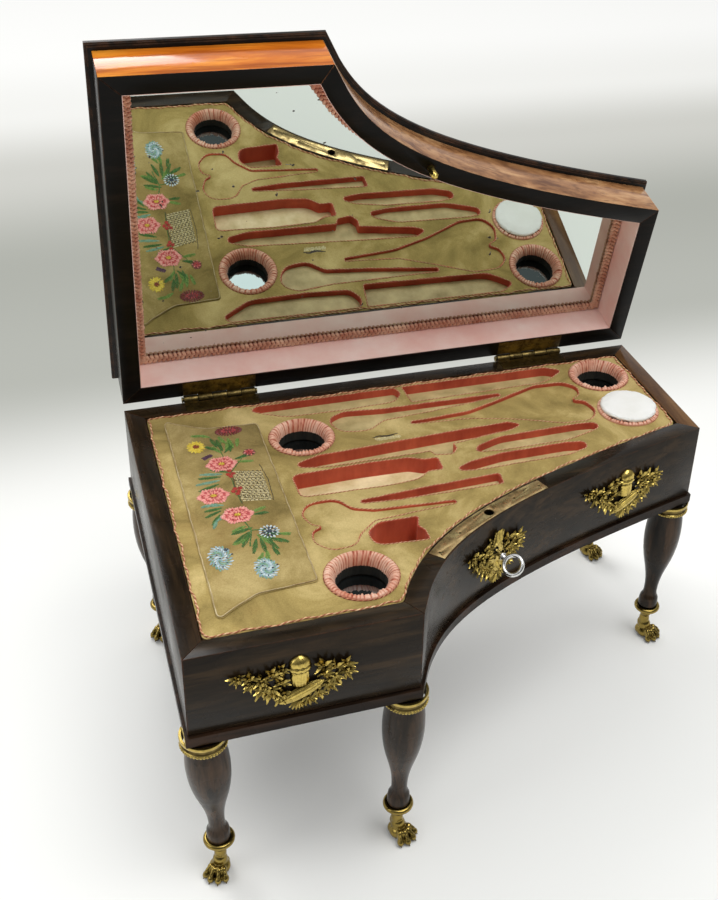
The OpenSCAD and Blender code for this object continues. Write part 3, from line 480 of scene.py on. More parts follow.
# %% [markdown]
# ## Mirrors
# Old mirrors are silvered glass: almost a perfect reflection, a little blue, with black spots where damp
# has got behind the silver. The spots gather near the edges, which an attribute on the mirror's mesh
# says, and a plain noise scatters the rest. The glass in front is the coat of the shader.


# %% Mirror finish
def silvered(name, tint, spots, edge_spots):
    material, n, shader = finish(name, Coat_Weight=1.0, Coat_Roughness=0.01)
    near = n.add("ShaderNodeAttribute", attribute_name="near_edge").outputs["Fac"]
    place = n.place()
    grain = n.noise(place, 190.0, 2, 0.5)
    drift = n.noise(place, 17.0, 3, 0.6)
    limit = n.maths("SUBTRACT", 1.0, n.maths("MULTIPLY", near, edge_spots))
    level = n.maths("MULTIPLY", n.maths("ADD", grain, n.maths("MULTIPLY", drift, spots)), 0.78)
    lost = n.ramp(n.maths("SUBTRACT", level, n.maths("MULTIPLY", limit, 0.5)), [(0.2, 0.0), (0.212, 1.0)])
    colour = n.mixed(lost, tint, rgb(30, 26, 20))
    feed(n, shader, Base_Color=colour, Roughness=n.ramp(lost, [(0.0, 0.012), (1.0, 0.5)]),
         Metallic=n.maths("SUBTRACT", 1.0, lost))
    return material


mirror = silvered("old_mirror", rgb(206, 215, 207), 0.3, 0.3)
# The socket mirrors are tinted much darker than the lid's mirror: painted shade at the bottom of the deep wells
socket_mirror = silvered("socket_mirror", rgb(118, 130, 132), 0.3, 0.0)
print("mirrors:", mirror.name, socket_mirror.name)

# %% [markdown]
# ## Velvet, silk and paper
# Velvet is dark where the eye looks into the pile and pale where it looks along it, which the sheen of the
# shader does. This one is rubbed and stained, so a slow noise moves it between olive and beige. A fine
# noise stands for the pile. The silk and the paper are smoother, with the weave as a fine bump.

# %% Pile and weave groups
pile, n, have, out = group(
    "pile", {"Vector": ("Vector", None), "Deep": ("Color", (0.2, 0.17, 0.08, 1)),
             "Middle": ("Color", (0.35, 0.3, 0.16, 1)), "Pale": ("Color", (0.5, 0.45, 0.28, 1)),
             "Stain": ("Color", (0.3, 0.2, 0.1, 1)), "Patches": ("Float", 26.0)},
    {"Color": "Color", "Height": "Float"})
patches = n.noise(have["Vector"], have["Patches"], 6, 0.62, 0.6)
tone = n.ramp(patches, [(0.32, 0.0), (0.68, 1.0)])
shade = n.mixed(n.maths("MULTIPLY", tone, 2.0, True), have["Deep"], have["Middle"])
shade = n.mixed(n.maths("MULTIPLY", n.maths("SUBTRACT", tone, 0.5), 2.0, True), shade, have["Pale"])
hairs = n.noise(have["Vector"], 1500.0, 3, 0.7)
shade = n.mixed(0.5, shade, n.ramp(hairs, [(0.25, 0.25), (0.75, 0.85)]), "SOFT_LIGHT")
stained = n.ramp(n.noise(have["Vector"], 15.0, 4, 0.6), [(0.57, 0.0), (0.75, 1.0)])
shade = n.mixed(n.maths("MULTIPLY", stained, 0.45), shade, have["Stain"])
n.tree.links.new(shade, out["Color"])
n.tree.links.new(hairs, out["Height"])

weave, n, have, out = group("weave", {"Vector": ("Vector", None), "Threads": ("Float", 2600.0)},
                            {"Height": "Float"})
parts = n.add("ShaderNodeSeparateXYZ", {0: have["Vector"]}).outputs
warp = n.maths("SINE", n.maths("MULTIPLY", parts[0], have["Threads"]))
weft = n.maths("SINE", n.maths("MULTIPLY", parts[1], have["Threads"]))
rise = n.maths("SINE", n.maths("MULTIPLY", parts[2], have["Threads"]))
n.tree.links.new(n.maths("ADD", n.maths("MULTIPLY", warp, weft), rise), out["Height"])
print("groups", pile.name, weave.name)


# %% Cloth finishes
def napped(name, deep, middle, pale, stain, sheen=0.1, patches=26.0):
    material, n, shader = finish(name, Sheen_Weight=sheen, Sheen_Roughness=0.45, Roughness=0.85,
                                 Specular_IOR_Level=0.2)
    nap = placed_group(n, pile, Vector=n.place(), Deep=deep, Middle=middle, Pale=pale, Stain=stain,
                       Patches=patches)
    feed(n, shader, Base_Color=nap["Color"], Normal=bump(n, nap["Height"], 0.35, 0.0002))
    return material


def silken(name, dark, light, scale=60.0, stretch=(1, 1, 1), rough=0.5, sheen=0.2, threads=2600.0, depth=0.12):
    material, n, shader = finish(name, Sheen_Weight=sheen, Sheen_Roughness=0.3, Roughness=rough,
                                 Specular_IOR_Level=0.4)
    streaks = n.noise(n.place(scale=stretch), scale, 5, 0.6)
    colour = n.mixed(n.ramp(streaks, [(0.3, 0.0), (0.7, 1.0)]), dark, light)
    height = placed_group(n, weave, Vector=n.place(), Threads=threads)["Height"]
    feed(n, shader, Base_Color=colour, Normal=bump(n, height, depth, 0.0001))
    return material


velvet = napped("olive_velvet", rgb(126, 108, 58), rgb(168, 146, 86), rgb(210, 187, 126), rgb(146, 100, 50))
panel_velvet = napped("panel_velvet", rgb(124, 106, 58), rgb(158, 137, 82), rgb(190, 168, 112), rgb(140, 96, 50),
                      patches=34.0)
red_silk = silken("brick_red_silk", rgb(166, 58, 40), rgb(216, 100, 70), 60.0, (1, 1, 0.4), 0.6)
floor_silk = silken("beige_floor_silk", rgb(158, 140, 90), rgb(216, 196, 142), 70.0)
pale_silk = silken("pale_floor_silk", rgb(198, 176, 120), rgb(250, 234, 188), 70.0)
pink_paper = silken("pink_paper", rgb(244, 192, 180), rgb(255, 226, 216), 34.0, rough=0.45, sheen=0.0,
                    threads=900.0, depth=0.05)
white_silk = silken("white_silk", rgb(240, 239, 232), rgb(254, 254, 251), 40.0, rough=0.6)
copper_silk = silken("copper_cord_silk", rgb(150, 84, 52), rgb(236, 176, 134), 240.0, rough=0.45, sheen=0.3)
pink_silk = silken("pink_ruched_silk", rgb(158, 92, 74), rgb(244, 192, 172), 260.0, rough=0.45, sheen=0.3)
# Painted shade: a near-black cloth for the deep lower wall of each socket well
painted_well_shade = silken("dark_painted_well_shade", rgb(20, 20, 15), rgb(48, 44, 34), 200.0, (1, 1, 0.2), 0.7, 0.05)

# %% Ruched silk, with painted shade in its folds
ruched_silk, n, shader = finish("ruched_silk", Sheen_Weight=0.3, Sheen_Roughness=0.3, Roughness=0.42,
                                Specular_IOR_Level=0.4)
puff = n.add("ShaderNodeAttribute", attribute_name="puff").outputs["Fac"]
faded = n.ramp(n.noise(n.place(), 60.0, 4, 0.6), [(0.3, 0.0), (0.7, 1.0)])
crest = n.mixed(faded, rgb(214, 142, 112), rgb(252, 214, 188))
# Painted shade: the fold ramp darkens the silk where the puff attribute is low, in the valleys between the puffs
folds = n.ramp(puff, [(0.1, rgb(128, 62, 48)), (0.45, rgb(206, 146, 124)), (0.9, rgb(255, 255, 255))])
feed(n, shader, Base_Color=n.mixed(1.0, crest, folds, "MULTIPLY"),
     Normal=bump(n, placed_group(n, weave, Vector=n.place(), Threads=2600.0)["Height"], 0.12, 0.0001))
print("ruched silk:", ruched_silk.name)
print("cloths:", velvet.name, red_silk.name, pink_paper.name)

# %% [markdown]
# ## Floor and light
# The floor is coloured as a pale sheet: white in front, a grey band of painted shade behind the object, and
# white again further back. It adds its own brightness only for what the camera, a mirror or glass sees, so
# that no light is put on the object by it. Two large soft lamps and an even world light the rest, at a level
# where a colour renders about as it is written.

# %% Floor
clear()
bpy.ops.mesh.primitive_plane_add(size=40, location=(0, 2, 0))
sheet_floor = started("floor")
material, n, shader = finish("pale_sheet_painted_shade", Roughness=0.9, Specular_IOR_Level=0.1)
depth = n.add("ShaderNodeSeparateXYZ", {0: n.add("ShaderNodeTexCoord").outputs["Object"]}).outputs
far = n.maths("ADD", n.maths("MULTIPLY", depth[1], 0.5), 0.3)
# The grey stops in the middle of this ramp are painted shade behind the object; the white ends are the sheet's colour
tone = n.ramp(far, [(0.0, (0.95, 0.95, 0.92, 1)), (0.4, (0.93, 0.93, 0.9, 1)), (0.5, (0.46, 0.47, 0.43, 1)),
                    (0.6, (0.42, 0.43, 0.39, 1)), (0.72, (0.62, 0.62, 0.58, 1)), (0.82, (0.88, 0.88, 0.85, 1)),
                    (0.95, (0.97, 0.97, 0.95, 1))], smooth=True)
ground = n.add("ShaderNodeTexCoord").outputs["Object"]
ground = n.add("ShaderNodeVectorMath", {0: ground}, operation="LENGTH").outputs["Value"]
apart = n.ramp(ground, [(0.13, 0.06), (0.42, 0.8)], smooth=True)
light_path = n.add("ShaderNodeLightPath").outputs
seen = n.maths("MAXIMUM", light_path["Is Camera Ray"],
               n.maths("MAXIMUM", light_path["Is Glossy Ray"], light_path["Is Transmission Ray"]))
n.tree.links.new(tone, shader.inputs["Base Color"])
own = n.add("ShaderNodeEmission", {"Color": tone, "Strength": 1.0})
blend_in = n.add("ShaderNodeMixShader", {0: n.maths("MULTIPLY", seen, apart)})
n.tree.links.new(shader.outputs[0], blend_in.inputs[1])
n.tree.links.new(own.outputs[0], blend_in.inputs[2])
outlet = next(x for x in n.tree.nodes if x.type == "OUTPUT_MATERIAL")
n.tree.links.new(blend_in.outputs[0], outlet.inputs["Surface"])
coat(material, sheet_floor)
print("floor", sheet_floor.name)

# %% World and lamps
world = bpy.data.worlds.new("studio")
bpy.context.scene.world = world
world.use_nodes = True
n = Nodes(world.node_tree)
background = next(x for x in world.node_tree.nodes if x.type == "BACKGROUND")
sky = n.add("ShaderNodeTexCoord").outputs["Generated"]
sky = n.add("ShaderNodeVectorMath", {0: sky, 1: (-0.1, 0.75, 0.65)}, operation="DOT_PRODUCT").outputs["Value"]
sky = n.ramp(n.maths("ADD", n.maths("MULTIPLY", sky, 0.5), 0.5),
             [(0.2, (0.1, 0.1, 0.1, 1)), (0.55, (0.34, 0.345, 0.35, 1)), (0.9, (0.72, 0.73, 0.74, 1))], smooth=True)
sky = n.mixed(n.add("ShaderNodeLightPath").outputs["Is Camera Ray"], sky, (0.9, 0.9, 0.88, 1))
world.node_tree.links.new(sky, background.inputs["Color"])
background.inputs["Strength"].default_value = 1.0


def softbox(name, place, size, power, aim=(0, 0, 0.12)):
    lamp = bpy.data.lights.new(name, "AREA")
    lamp.shape = "RECTANGLE"
    lamp.size, lamp.size_y = size
    lamp.energy = power
    o = bpy.data.objects.new(name, lamp)
    bpy.context.scene.collection.objects.link(o)
    o.location = place
    o.rotation_euler = (Vector(place) - Vector(aim)).to_track_quat("Z", "Y").to_euler()
    return o


softbox("window_behind", (-0.45, 1.2, 1.45), (1.0, 0.7), 15)
softbox("softbox_above", (0.35, -0.4, 1.55), (1.1, 1.1), 14)
softbox("fill_left", (-1.4, -0.2, 0.9), (0.8, 0.8), 3)

# %% [markdown]
# ## The woodwork
# The walls, the plinth and the lid board have the right shape already, so they are dressed: a copy of
# each CAD piece gets whole faces instead of loose triangles, a tiny bevel that catches the light along
# its edges, and smooth shading across the curve.

# %% Case and lid walls
for node, edge, wood_finish in (
        ("spine_wall", 0.5, dark_wood), ("keyboard_end_wall", 0.5, cross_wood), ("cheek_wall", 0.5, dark_wood),
        ("bentside_wall", 0.5, dark_wood), ("tail_wall", 0.5, cross_wood), ("plinth_board", 0, plinth_wood),
        ("lid_spine_wall", 0.4, rim_wood), ("lid_keyboard_end_wall", 0.4, rim_wood),
        ("lid_cheek_wall", 0.4, bright_wood), ("lid_bentside_wall", 0.4, faded_wood),
        ("lid_tail_wall", 0.4, rim_wood), ("lid_board", 0.2, rim_wood)):
    coat(wood_finish, dressed(node, node + "_veneer", edge))
print("dressed the walls")

# %% Plain finishes for the other CAD pieces
for finish_name, names in (
        (plain_wood, ["tray_bearers", "tray_core"]),
        (old_brass, ["lock_case", "lock_plate_pins", "hinge_case_screws", "hinge_lid_screws"]),
        (steel, ["lock_bolt"]), (mirror, ["mirror_glass"]), (socket_mirror, ["socket_mirrors"]),
        (plain_wood, ["mirror_backing"]), (velvet, ["tray_velvet"])):
    coat(finish_name, *names)
for side in ("left", "right"):
    for part in ("case_leaf", "lid_leaf", "pin"):
        coat(old_brass, dressed(f"{side}_hinge_{part}", f"{side}_hinge_{part}_brass", 0.15))
coat(lock_brass, dressed("lock_plate", "lock_plate_brass_face", 0.15))
coat(steel, dressed("key", "key_steel", 0.12, angle=50))
coat(gilt, dressed("lid_catch", "lid_catch_gilt", 0.1))
coat(red_silk, dressed("recess_linings", "recess_lining_silk", angle=50))
floors = dressed("recess_floors", "recess_floor_cloth", angle=50)
coat(floor_silk, floors)
for cloth in (velvet, pale_silk):
    floors.data.materials.append(cloth)
for f in floors.data.polygons:
    depth = face - f.center.z
    f.material_index = 1 if depth < 2.5 * MM else 2 if 8 * MM < depth < 10 * MM else 0
coat(pink_paper, dressed("lid_lining", "lid_lining_paper"))
coat(copper_silk, "recess_edging", "tray_edging")
coat(pink_silk, "mirror_gimp", "socket_rings")
coat(panel_velvet, "embroidered_panel")
coat(white_silk, "pincushion")
for leg in ("front_left", "cheek_right", "tail_front", "back_right", "back_left"):
    coat(leg_wood, dressed(leg + "_leg", leg + "_leg_turned", angle=50))
    coat(gilt, leg + "_paw", leg + "_collar")
for name in ("cheek_mount", "keyhole_mount", "tail_mount"):
    coat(gilt, name)
print("finished", len(nodes), "CAD pieces")

# %% [markdown]
# ## Two colours on the lid's rim
# The lid's walls are bright outside, where light has bleached them, and black on the closing face, which
# was stained. The closing face is the one that points down when the lid is shut. It is found by its
# direction and given a second material. The top of the tail wall is worn lighter.

# %% Black closing faces
DOWN = opening.to_3x3() @ Vector((0, 0, -1))
for name in ("lid_cheek_wall_veneer", "lid_bentside_wall_veneer", "lid_spine_wall_veneer",
             "lid_tail_wall_veneer", "lid_keyboard_end_wall_veneer"):
    piece = bpy.data.objects[name]
    piece.data.materials.append(black_wood)
    for f in piece.data.polygons:
        if f.normal.dot(DOWN) > 0.8:
            f.material_index = 1
tail = bpy.data.objects["tail_wall_veneer"]
tail.data.materials.append(warm_wood)
for f in tail.data.polygons:
    if f.normal.z > 0.8:
        f.material_index = 1
print("closing faces coloured")

# %% [markdown]
# ## Outlines and cords
# Every recess and the tray itself is edged with a thin silk cord, two strands laid round each other. The
# CAD pieces already have the outlines. A helper walks round the edge of a flat face and returns its points,
# a second spaces them evenly, and a third lays two strands in a helix along them. Cords are the one thing
# that curves do better than faces: the curve gets a thickness and then becomes a mesh.


# %% Outlines of flat faces
def outlines(node, level, back_turn=None):
    """The outlines of a CAD piece's flat face at this height, as closed lists of points."""
    net = bmesh.new()
    net.from_mesh(nodes[node].data)
    if back_turn:
        net.transform(back_turn)
    bmesh.ops.remove_doubles(net, verts=net.verts, dist=0.00001)
    net.normal_update()
    flat = {f for f in net.faces
            if abs(f.normal.z) > 0.99 and abs(f.calc_center_median().z - level) < 0.00002}
    edges = dict.fromkeys(e for e in net.edges if sum(f in flat for f in e.link_faces) == 1)
    found = []
    while edges:
        step = next(iter(edges))
        del edges[step]
        loop = list(step.verts)
        while step:
            step = next((e for e in loop[-1].link_edges if e in edges), None)
            if step:
                del edges[step]
                loop.append(step.other_vert(loop[-1]))
        found.append([v.co.copy() for v in loop[:-1]])
    net.free()
    return found


def turn_area(loop):
    return sum(a.x * b.y - b.x * a.y for a, b in zip(loop, loop[1:] + loop[:1])) / 2


def evened(loop, step, soften=2):
    """The same closed loop, counter-clockwise, with points at even steps and slightly softened corners."""
    loop = loop if turn_area(loop) > 0 else loop[::-1]
    reach = [0.0]
    for a, b in zip(loop, loop[1:] + loop[:1]):
        reach.append(reach[-1] + (b - a).length)
    count = max(12, round(reach[-1] / step))
    points, k = [], 0
    for i in range(count):
        s = reach[-1] * i / count
        while reach[k + 1] < s:
            k += 1
        a, b = loop[k], loop[(k + 1) % len(loop)]
        points.append(a.lerp(b, (s - reach[k]) / max(1e-9, reach[k + 1] - reach[k])))
    for _ in range(soften):
        points = [(points[i - 1] + 2 * p + points[(i + 1) % count]) / 4 for i, p in enumerate(points)]
    return points


def sideways(points, by, lift=0.0):
    """The loop moved outwards by a distance, and up by another."""
    moved = []
    for i, p in enumerate(points):
        ahead = (points[(i + 1) % len(points)] - points[i - 1]).normalized()
        moved.append(p + Vector((ahead.y, -ahead.x, 0)) * by + Vector((0, 0, lift)))
    return moved


def length_of(points):
    return sum((b - a).length for a, b in zip(points, points[1:] + points[:1]))


def goes_round(loop, p):
    """Whether a closed loop goes round a point, seen from above."""
    crossings = [(a.y > p.y) != (b.y > p.y) and p.x < a.x + (b.x - a.x) * (p.y - a.y) / (b.y - a.y)
                 for a, b in zip(loop, loop[1:] + loop[:1])]
    return sum(crossings) % 2 == 1


mouths = outlines("recess_linings", face)
recess_loops = [x for x in mouths if not any(goes_round(y, x[0]) for y in mouths if y is not x)]
print("outlines found:", len(recess_loops), "total", round(sum(map(length_of, recess_loops)) / MM), "mm")


# %% Twisted cord
def twisted(name, loops, radius, strand, pitch, finishes, wave=0.0, seed=1, place=None):
    """Strands laid round each other along closed loops: one finish for each strand."""
    dice = random.Random(seed)
    sways = [[dice.uniform(0, 6.3) for _ in range(3)] for _ in loops]
    strands = []
    for k, strand_finish in enumerate(finishes):
        line = bpy.data.curves.new(name, "CURVE")
        line.dimensions = "3D"
        line.bevel_depth = strand
        line.bevel_resolution = 1
        for loop, sway in zip(loops, sways):
            turns = max(1, round(length_of(loop) / pitch))
            spline = line.splines.new("POLY")
            spline.points.add(len(loop) - 1)
            spline.use_cyclic_u = True
            for i, p in enumerate(loop):
                ahead = (loop[(i + 1) % len(loop)] - loop[i - 1]).normalized()
                out = Vector((ahead.y, -ahead.x, 0))
                part = i / len(loop) * math.tau
                far = length_of(loop) / MM / 9
                sway_by = wave * sum(math.sin(part * round(far / d) + s) for d, s in zip((1, 2.3, 4), sway)) / 2
                a = part * turns + math.tau * k / len(finishes)
                p = p + out * (radius * math.cos(a) + sway_by) + Vector((0, 0, radius * math.sin(a)))
                spline.points[i].co = (*(place @ p if place else p), 1)
        o = bpy.data.objects.new(name, line)
        bpy.context.scene.collection.objects.link(o)
        pick(o)
        bpy.ops.object.convert(target="MESH")
        o = bpy.context.active_object
        o.data.materials.clear()
        o.data.materials.append(strand_finish)
        smoothed(o, 80)
        strands.append(o)
    return joined(name, strands)


# %% Cords on the tray
thread_gold = silken("gold_thread", rgb(196, 132, 84), rgb(252, 218, 172), 200.0, rough=0.35, sheen=0.2)
thread_pale = silken("pale_thread", rgb(198, 146, 104), rgb(240, 206, 164), 200.0, rough=0.45)
thread_copper = silken("copper_thread", rgb(138, 70, 42), rgb(196, 122, 86), 200.0, rough=0.45)
thread_red = silken("red_thread", rgb(118, 44, 32), rgb(170, 84, 62), 200.0, rough=0.5)
cords = twisted("recess_cord", [sideways(evened(x, 0.5 * MM, 1), -0.05 * MM, 0.15 * MM) for x in recess_loops],
                0.13 * MM, 0.19 * MM, 2.2 * MM, (thread_pale, thread_copper), 0.16 * MM)
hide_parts("recess_edging")
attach(cords, "tray")
border = max(outlines("tray_velvet", face), key=length_of)
border_cord = twisted("tray_border_cord", [sideways(evened(border, 0.6 * MM, 3), -0.75 * MM, 0.3 * MM)],
                      0.24 * MM, 0.32 * MM, 3.4 * MM, (thread_gold, thread_copper), 0.6 * MM, 5)
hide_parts("tray_edging")
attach(border_cord, "tray")
print("cord round the recesses", round(sum(length_of(x) for x in recess_loops) / MM), "mm in", len(recess_loops),
      "loops, tray cord", round(length_of(border) / MM), "mm")

# %% [markdown]
# ## Ruched rings
# A ruched ring is a strip of silk gathered on a thread and glued round the socket, so that it falls in
# many small puffs. Its section is drawn once and spun round. Then the points are moved in and out by a
# wave whose valleys are sharp and whose puffs are round, with a little chance in each, which is what
# gathering does. A thin red cord covers the glued edge outside.

# %% Ruched ring
RING = [(17.3, 0.0), (17.4, 0.7), (16.9, 1.35), (15.9, 1.6), (14.8, 1.2), (13.8, 0.2), (13.1, -1.2),
        (12.6, -2.8), (12.3, -4.2), (12.5, -5.4), (12.55, -9.6)]
SOCKETS = [(86.7, 33), (86.9, 151), (270, 170.5), (270, 131.5)]


def ruched(name, x, y, seed, pleats=60):
    clear()
    bpy.ops.mesh.primitive_plane_add(size=MM)
    ring = started(name)
    net = bmesh.new()
    line = [net.verts.new((r * MM, 0, z * MM)) for r, z in RING]
    for a, b in zip(line, line[1:]):
        net.edges.new((a, b))
    net.to_mesh(ring.data)
    net.free()
    bpy.ops.object.mode_set(mode="EDIT")
    bpy.ops.mesh.select_all(action="SELECT")
    bpy.ops.mesh.spin(steps=pleats * 4, angle=math.tau, center=(0, 0, 0), axis=(0, 0, 1))
    bpy.ops.mesh.select_all(action="SELECT")
    bpy.ops.mesh.remove_doubles(threshold=0.00001)
    bpy.ops.mesh.normals_make_consistent(inside=False)
    bpy.ops.object.mode_set(mode="OBJECT")
    dice = random.Random(seed)
    shift = [dice.uniform(-1, 1) for _ in range(pleats)]
    size = [dice.uniform(0.45, 1.25) for _ in range(pleats)]
    # The puff attribute is painted shade for the silk: low in the valleys between puffs, high on their crests
    puffs = ring.data.attributes.new("puff", "FLOAT", "POINT")
    for v in ring.data.vertices:
        reach = math.hypot(v.co.x, v.co.y)
        lean = 0.35 * v.co.z / MM
        part = ((math.atan2(v.co.y, v.co.x) / math.tau % 1) * pleats + lean * 0.3) % pleats
        k = int(part) % pleats
        puff = abs(math.sin(math.pi * (part + shift[k] * 0.2))) ** 0.6 * size[k]
        weight = min(1.0, max(0.0, (17.4 * MM - reach) / (1.6 * MM))) * (1 - 0.6 * min(1.0, max(0.0, -v.co.z / (5 * MM))))
        new = reach - 1.1 * MM * weight * (puff - 0.5)
        v.co.x, v.co.y = v.co.x * new / reach, v.co.y * new / reach
        if v.co.z > 0.3 * MM:
            v.co.z += 1.1 * MM * weight * (puff - 0.5)
        puffs.data[v.index].value = min(1.0, 0.15 + 0.5 * puff / size[k] + 0.4 * puff) if weight > 0.3 else 0.7
    ring.data.materials.clear()
    ring.data.materials.append(ruched_silk)
    ring.data.materials.append(painted_well_shade)
    # Faces below the ruching take the painted shade
    for f in ring.data.polygons:
        f.material_index = int(f.center.z < -4.3 * MM)
    applied(ring, "SUBSURF", levels=1, render_levels=1)
    ring.data.transform(Matrix.Translation(at(x, y, face / MM)))
    smoothed(ring, 80)
    return ring


rings = joined("ruched_rings", [ruched(f"ring{k}", *SOCKETS[k], 11 + k) for k in range(4)])
circle = [Vector((17.35 * MM * math.cos(a / 90 * math.pi), 17.35 * MM * math.sin(a / 90 * math.pi), 0))
          for a in range(180)]
ring_cords = twisted("socket_cord", [[p + at(x, y, face / MM + 0.25) for p in circle] for x, y in SOCKETS[:3]],
                     0.2 * MM, 0.28 * MM, 2.4 * MM, (copper_silk, thread_red), 0.05 * MM, 9)
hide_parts("socket_rings")
for piece in (rings, ring_cords):
    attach(piece, "tray")
print("rings:", len(rings.data.polygons), "faces")

# %% [markdown]
# ## Pincushion
# The pincushion is a small round bag of white satin, stuffed tight. It is the one soft thing here, so its
# shape comes from a cloth simulation: a flat disc with rounded edges is blown up by air pressure, as the
# stuffing does. The simulation works badly on things a few millimetres across, so it runs at ten times the
# size. A few shallow creases run in from the edge, where the cloth is gathered underneath.

# %% Pincushion blown up by cloth pressure
clear()
bpy.ops.mesh.primitive_cylinder_add(vertices=64, radius=0.150, depth=0.050)
cushion = started("pincushion_satin")
applied(cushion, "BEVEL", width=0.018, segments=4, limit_method="ANGLE", angle_limit=math.radians(60))
applied(cushion, "REMESH", mode="VOXEL", voxel_size=0.006)
before = [v.co.copy() for v in cushion.data.vertices]
pick(cushion)
air = cushion.modifiers.new("air", "CLOTH")
air.settings.use_pressure = True
air.settings.uniform_pressure_force = 4
air.settings.effector_weights.gravity = 0
air.settings.quality = 6
for moment in range(1, 21):
    bpy.context.scene.frame_set(moment)
bpy.ops.object.modifier_apply(modifier="air")
bpy.context.scene.frame_set(1)
moved = 0
for v, old in zip(cushion.data.vertices, before):
    step = v.co - old
    if step.length > 0.012:
        v.co = old + step * (0.012 / step.length)
    moved = max(moved, step.length)
print("air moved the cloth by up to", round(moved * 100, 2), "mm")

# %% Pincushion fitted into its socket
dice = random.Random(4)
folds = [(dice.uniform(0, math.tau), dice.uniform(0.02, 0.05), dice.uniform(0.3, 1.0)) for _ in range(26)]
top_z = max(v.co.z for v in cushion.data.vertices)
wide = max(math.hypot(v.co.x, v.co.y) for v in cushion.data.vertices)
for v in cushion.data.vertices:
    angle = math.atan2(v.co.y, v.co.x)
    reach = math.hypot(v.co.x, v.co.y) / wide
    crease = sum(deep * math.exp(-((abs((angle - a + math.pi) % math.tau - math.pi)) / w) ** 2)
                 for a, w, deep in folds)
    gather = max(0.0, reach - 0.62) / 0.38
    shrink = 1 - 0.035 * crease * gather
    z = v.co.z / top_z
    dome = math.sqrt(max(0.0, 1 - min(1.0, reach) ** 2))
    v.co.x *= 16.0 * MM / wide * shrink
    v.co.y *= 16.0 * MM / wide * shrink
    v.co.z = (2.6 + (z > 0) * 1.2 * dome + z * 1.6 - 0.35 * crease * gather) * MM if z > -0.2 else (2.3 + z * 1.6) * MM
cushion.data.transform(Matrix.Translation(at(*SOCKETS[3], face / MM)))
applied(cushion, "SMOOTH", factor=0.5, iterations=3)
applied(cushion, "SUBSURF", levels=1, render_levels=1)
clear()
bpy.ops.mesh.primitive_cylinder_add(vertices=48, radius=11.8 * MM, depth=9.6 * MM,
                                    location=at(*SOCKETS[3], face / MM - 4.9))
stem = started("cushion_stem")
applied(stem, "BEVEL", width=1.0 * MM, segments=3, limit_method="ANGLE", angle_limit=math.radians(60))
cushion = joined("pincushion_satin", [cushion, stem])
smoothed(cushion, 80)
coat(white_silk, cushion)
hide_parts("pincushion")
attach(cushion, "pincushion")
low, high = (min(v.co.z for v in cushion.data.vertices), max(v.co.z for v in cushion.data.vertices))
print("cushion from", round(low / MM, 2), "to", round(high / MM, 2), "mm")

# %% [markdown]
# ## Gimp round the mirror
# Gimp is a flat plaited braid that covers the joint between glass and lining. Its look comes from slanted
# loops in two rows that meet in the middle like a plait. One loop is modelled, a small bean, and laid
# along both sides of the path. Hundreds of copies are needed, so a bean has only a few dozen faces.

# %% One loop of the braid
closed = opening.inverted()
clear()
bpy.ops.mesh.primitive_uv_sphere_add(segments=8, ring_count=6, radius=1)
bean = started("braid_loop")
bpy.ops.object.mode_set(mode="EDIT")
bpy.ops.mesh.select_all(action="SELECT")
bpy.ops.transform.resize(value=(1.95 * MM, 1.05 * MM, 1.35 * MM))
bpy.ops.mesh.select_all(action="DESELECT")
bpy.ops.object.mode_set(mode="OBJECT")
for v in bean.data.vertices:
    v.co.y += 0.00035 * (v.co.x / (1.75 * MM)) ** 2
smoothed(bean, 80)


def strewn(name, base, matrices, material):
    """Copies of a small mesh under many matrices, as one piece."""
    net = bmesh.new()
    for m in matrices:
        start = len(net.verts)
        net.from_mesh(base.data)
        net.verts.ensure_lookup_table()
        bmesh.ops.transform(net, matrix=m, verts=net.verts[start:])
    mesh = bpy.data.meshes.new(name)
    net.to_mesh(mesh)
    net.free()
    mesh.materials.clear()
    mesh.materials.append(material)
    o = bpy.data.objects.new(name, mesh)
    bpy.context.scene.collection.objects.link(o)
    smoothed(o, 80)
    return o


# %% The braid along the mirror's edge
glass_front = min(v.z for v in (closed @ x.co for x in nodes["mirror_glass"].data.vertices))
glass_edge = max(outlines("mirror_glass", glass_front, closed), key=length_of)
braid_path = sideways(evened(glass_edge, 2.5 * MM, 1), -3.1 * MM, -1.25 * MM)
dice = random.Random(21)
laid = []
for i, p in enumerate(braid_path):
    ahead = (braid_path[(i + 1) % len(braid_path)] - braid_path[i - 1]).normalized()
    side = Vector((ahead.y, -ahead.x, 0))
    for hand in (-1, 1):
        spot = p + side * hand * 1.15 * MM + ahead * (hand * 0.5 * MM)
        lean = math.atan2(side.y, side.x) + hand * math.radians(dice.uniform(24, 36))
        size = dice.uniform(0.9, 1.1)
        laid.append(opening @ Matrix.Translation(spot) @ Matrix.Rotation(lean, 4, "Z") @
                    Matrix.Diagonal((size, size, size, 1)))
gimp_silk = silken("gimp_silk", rgb(184, 114, 88), rgb(234, 192, 162), 90.0, rough=0.5, sheen=0.3)
gimp = strewn("mirror_braid", bean, laid, gimp_silk)
core = twisted("braid_core", [[opening @ p for p in sideways(braid_path, by, 0.35 * MM)]
                              for by in (-1.2 * MM, 1.2 * MM)], 0.0, 0.8 * MM, 50 * MM, (thread_red,))
gimp = joined("mirror_braid", [gimp, core])
bpy.data.objects.remove(bean)
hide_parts("mirror_gimp")
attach(gimp, "lid")
print("braid:", len(laid), "loops on", round(length_of(braid_path) / MM), "mm")

# %% [markdown]
# ## The embroidered panel
# The panel is padded velvet with a basket of flowers worked on it in silk. Real embroidery is many short
# stitches lying side by side, each a little sheaf of thread that shines along its length. So one stitch is
# modelled, a slim grain with pointed ends, and every flower, leaf and stem is a list of places where it is
# laid. Each thread colour becomes one piece.

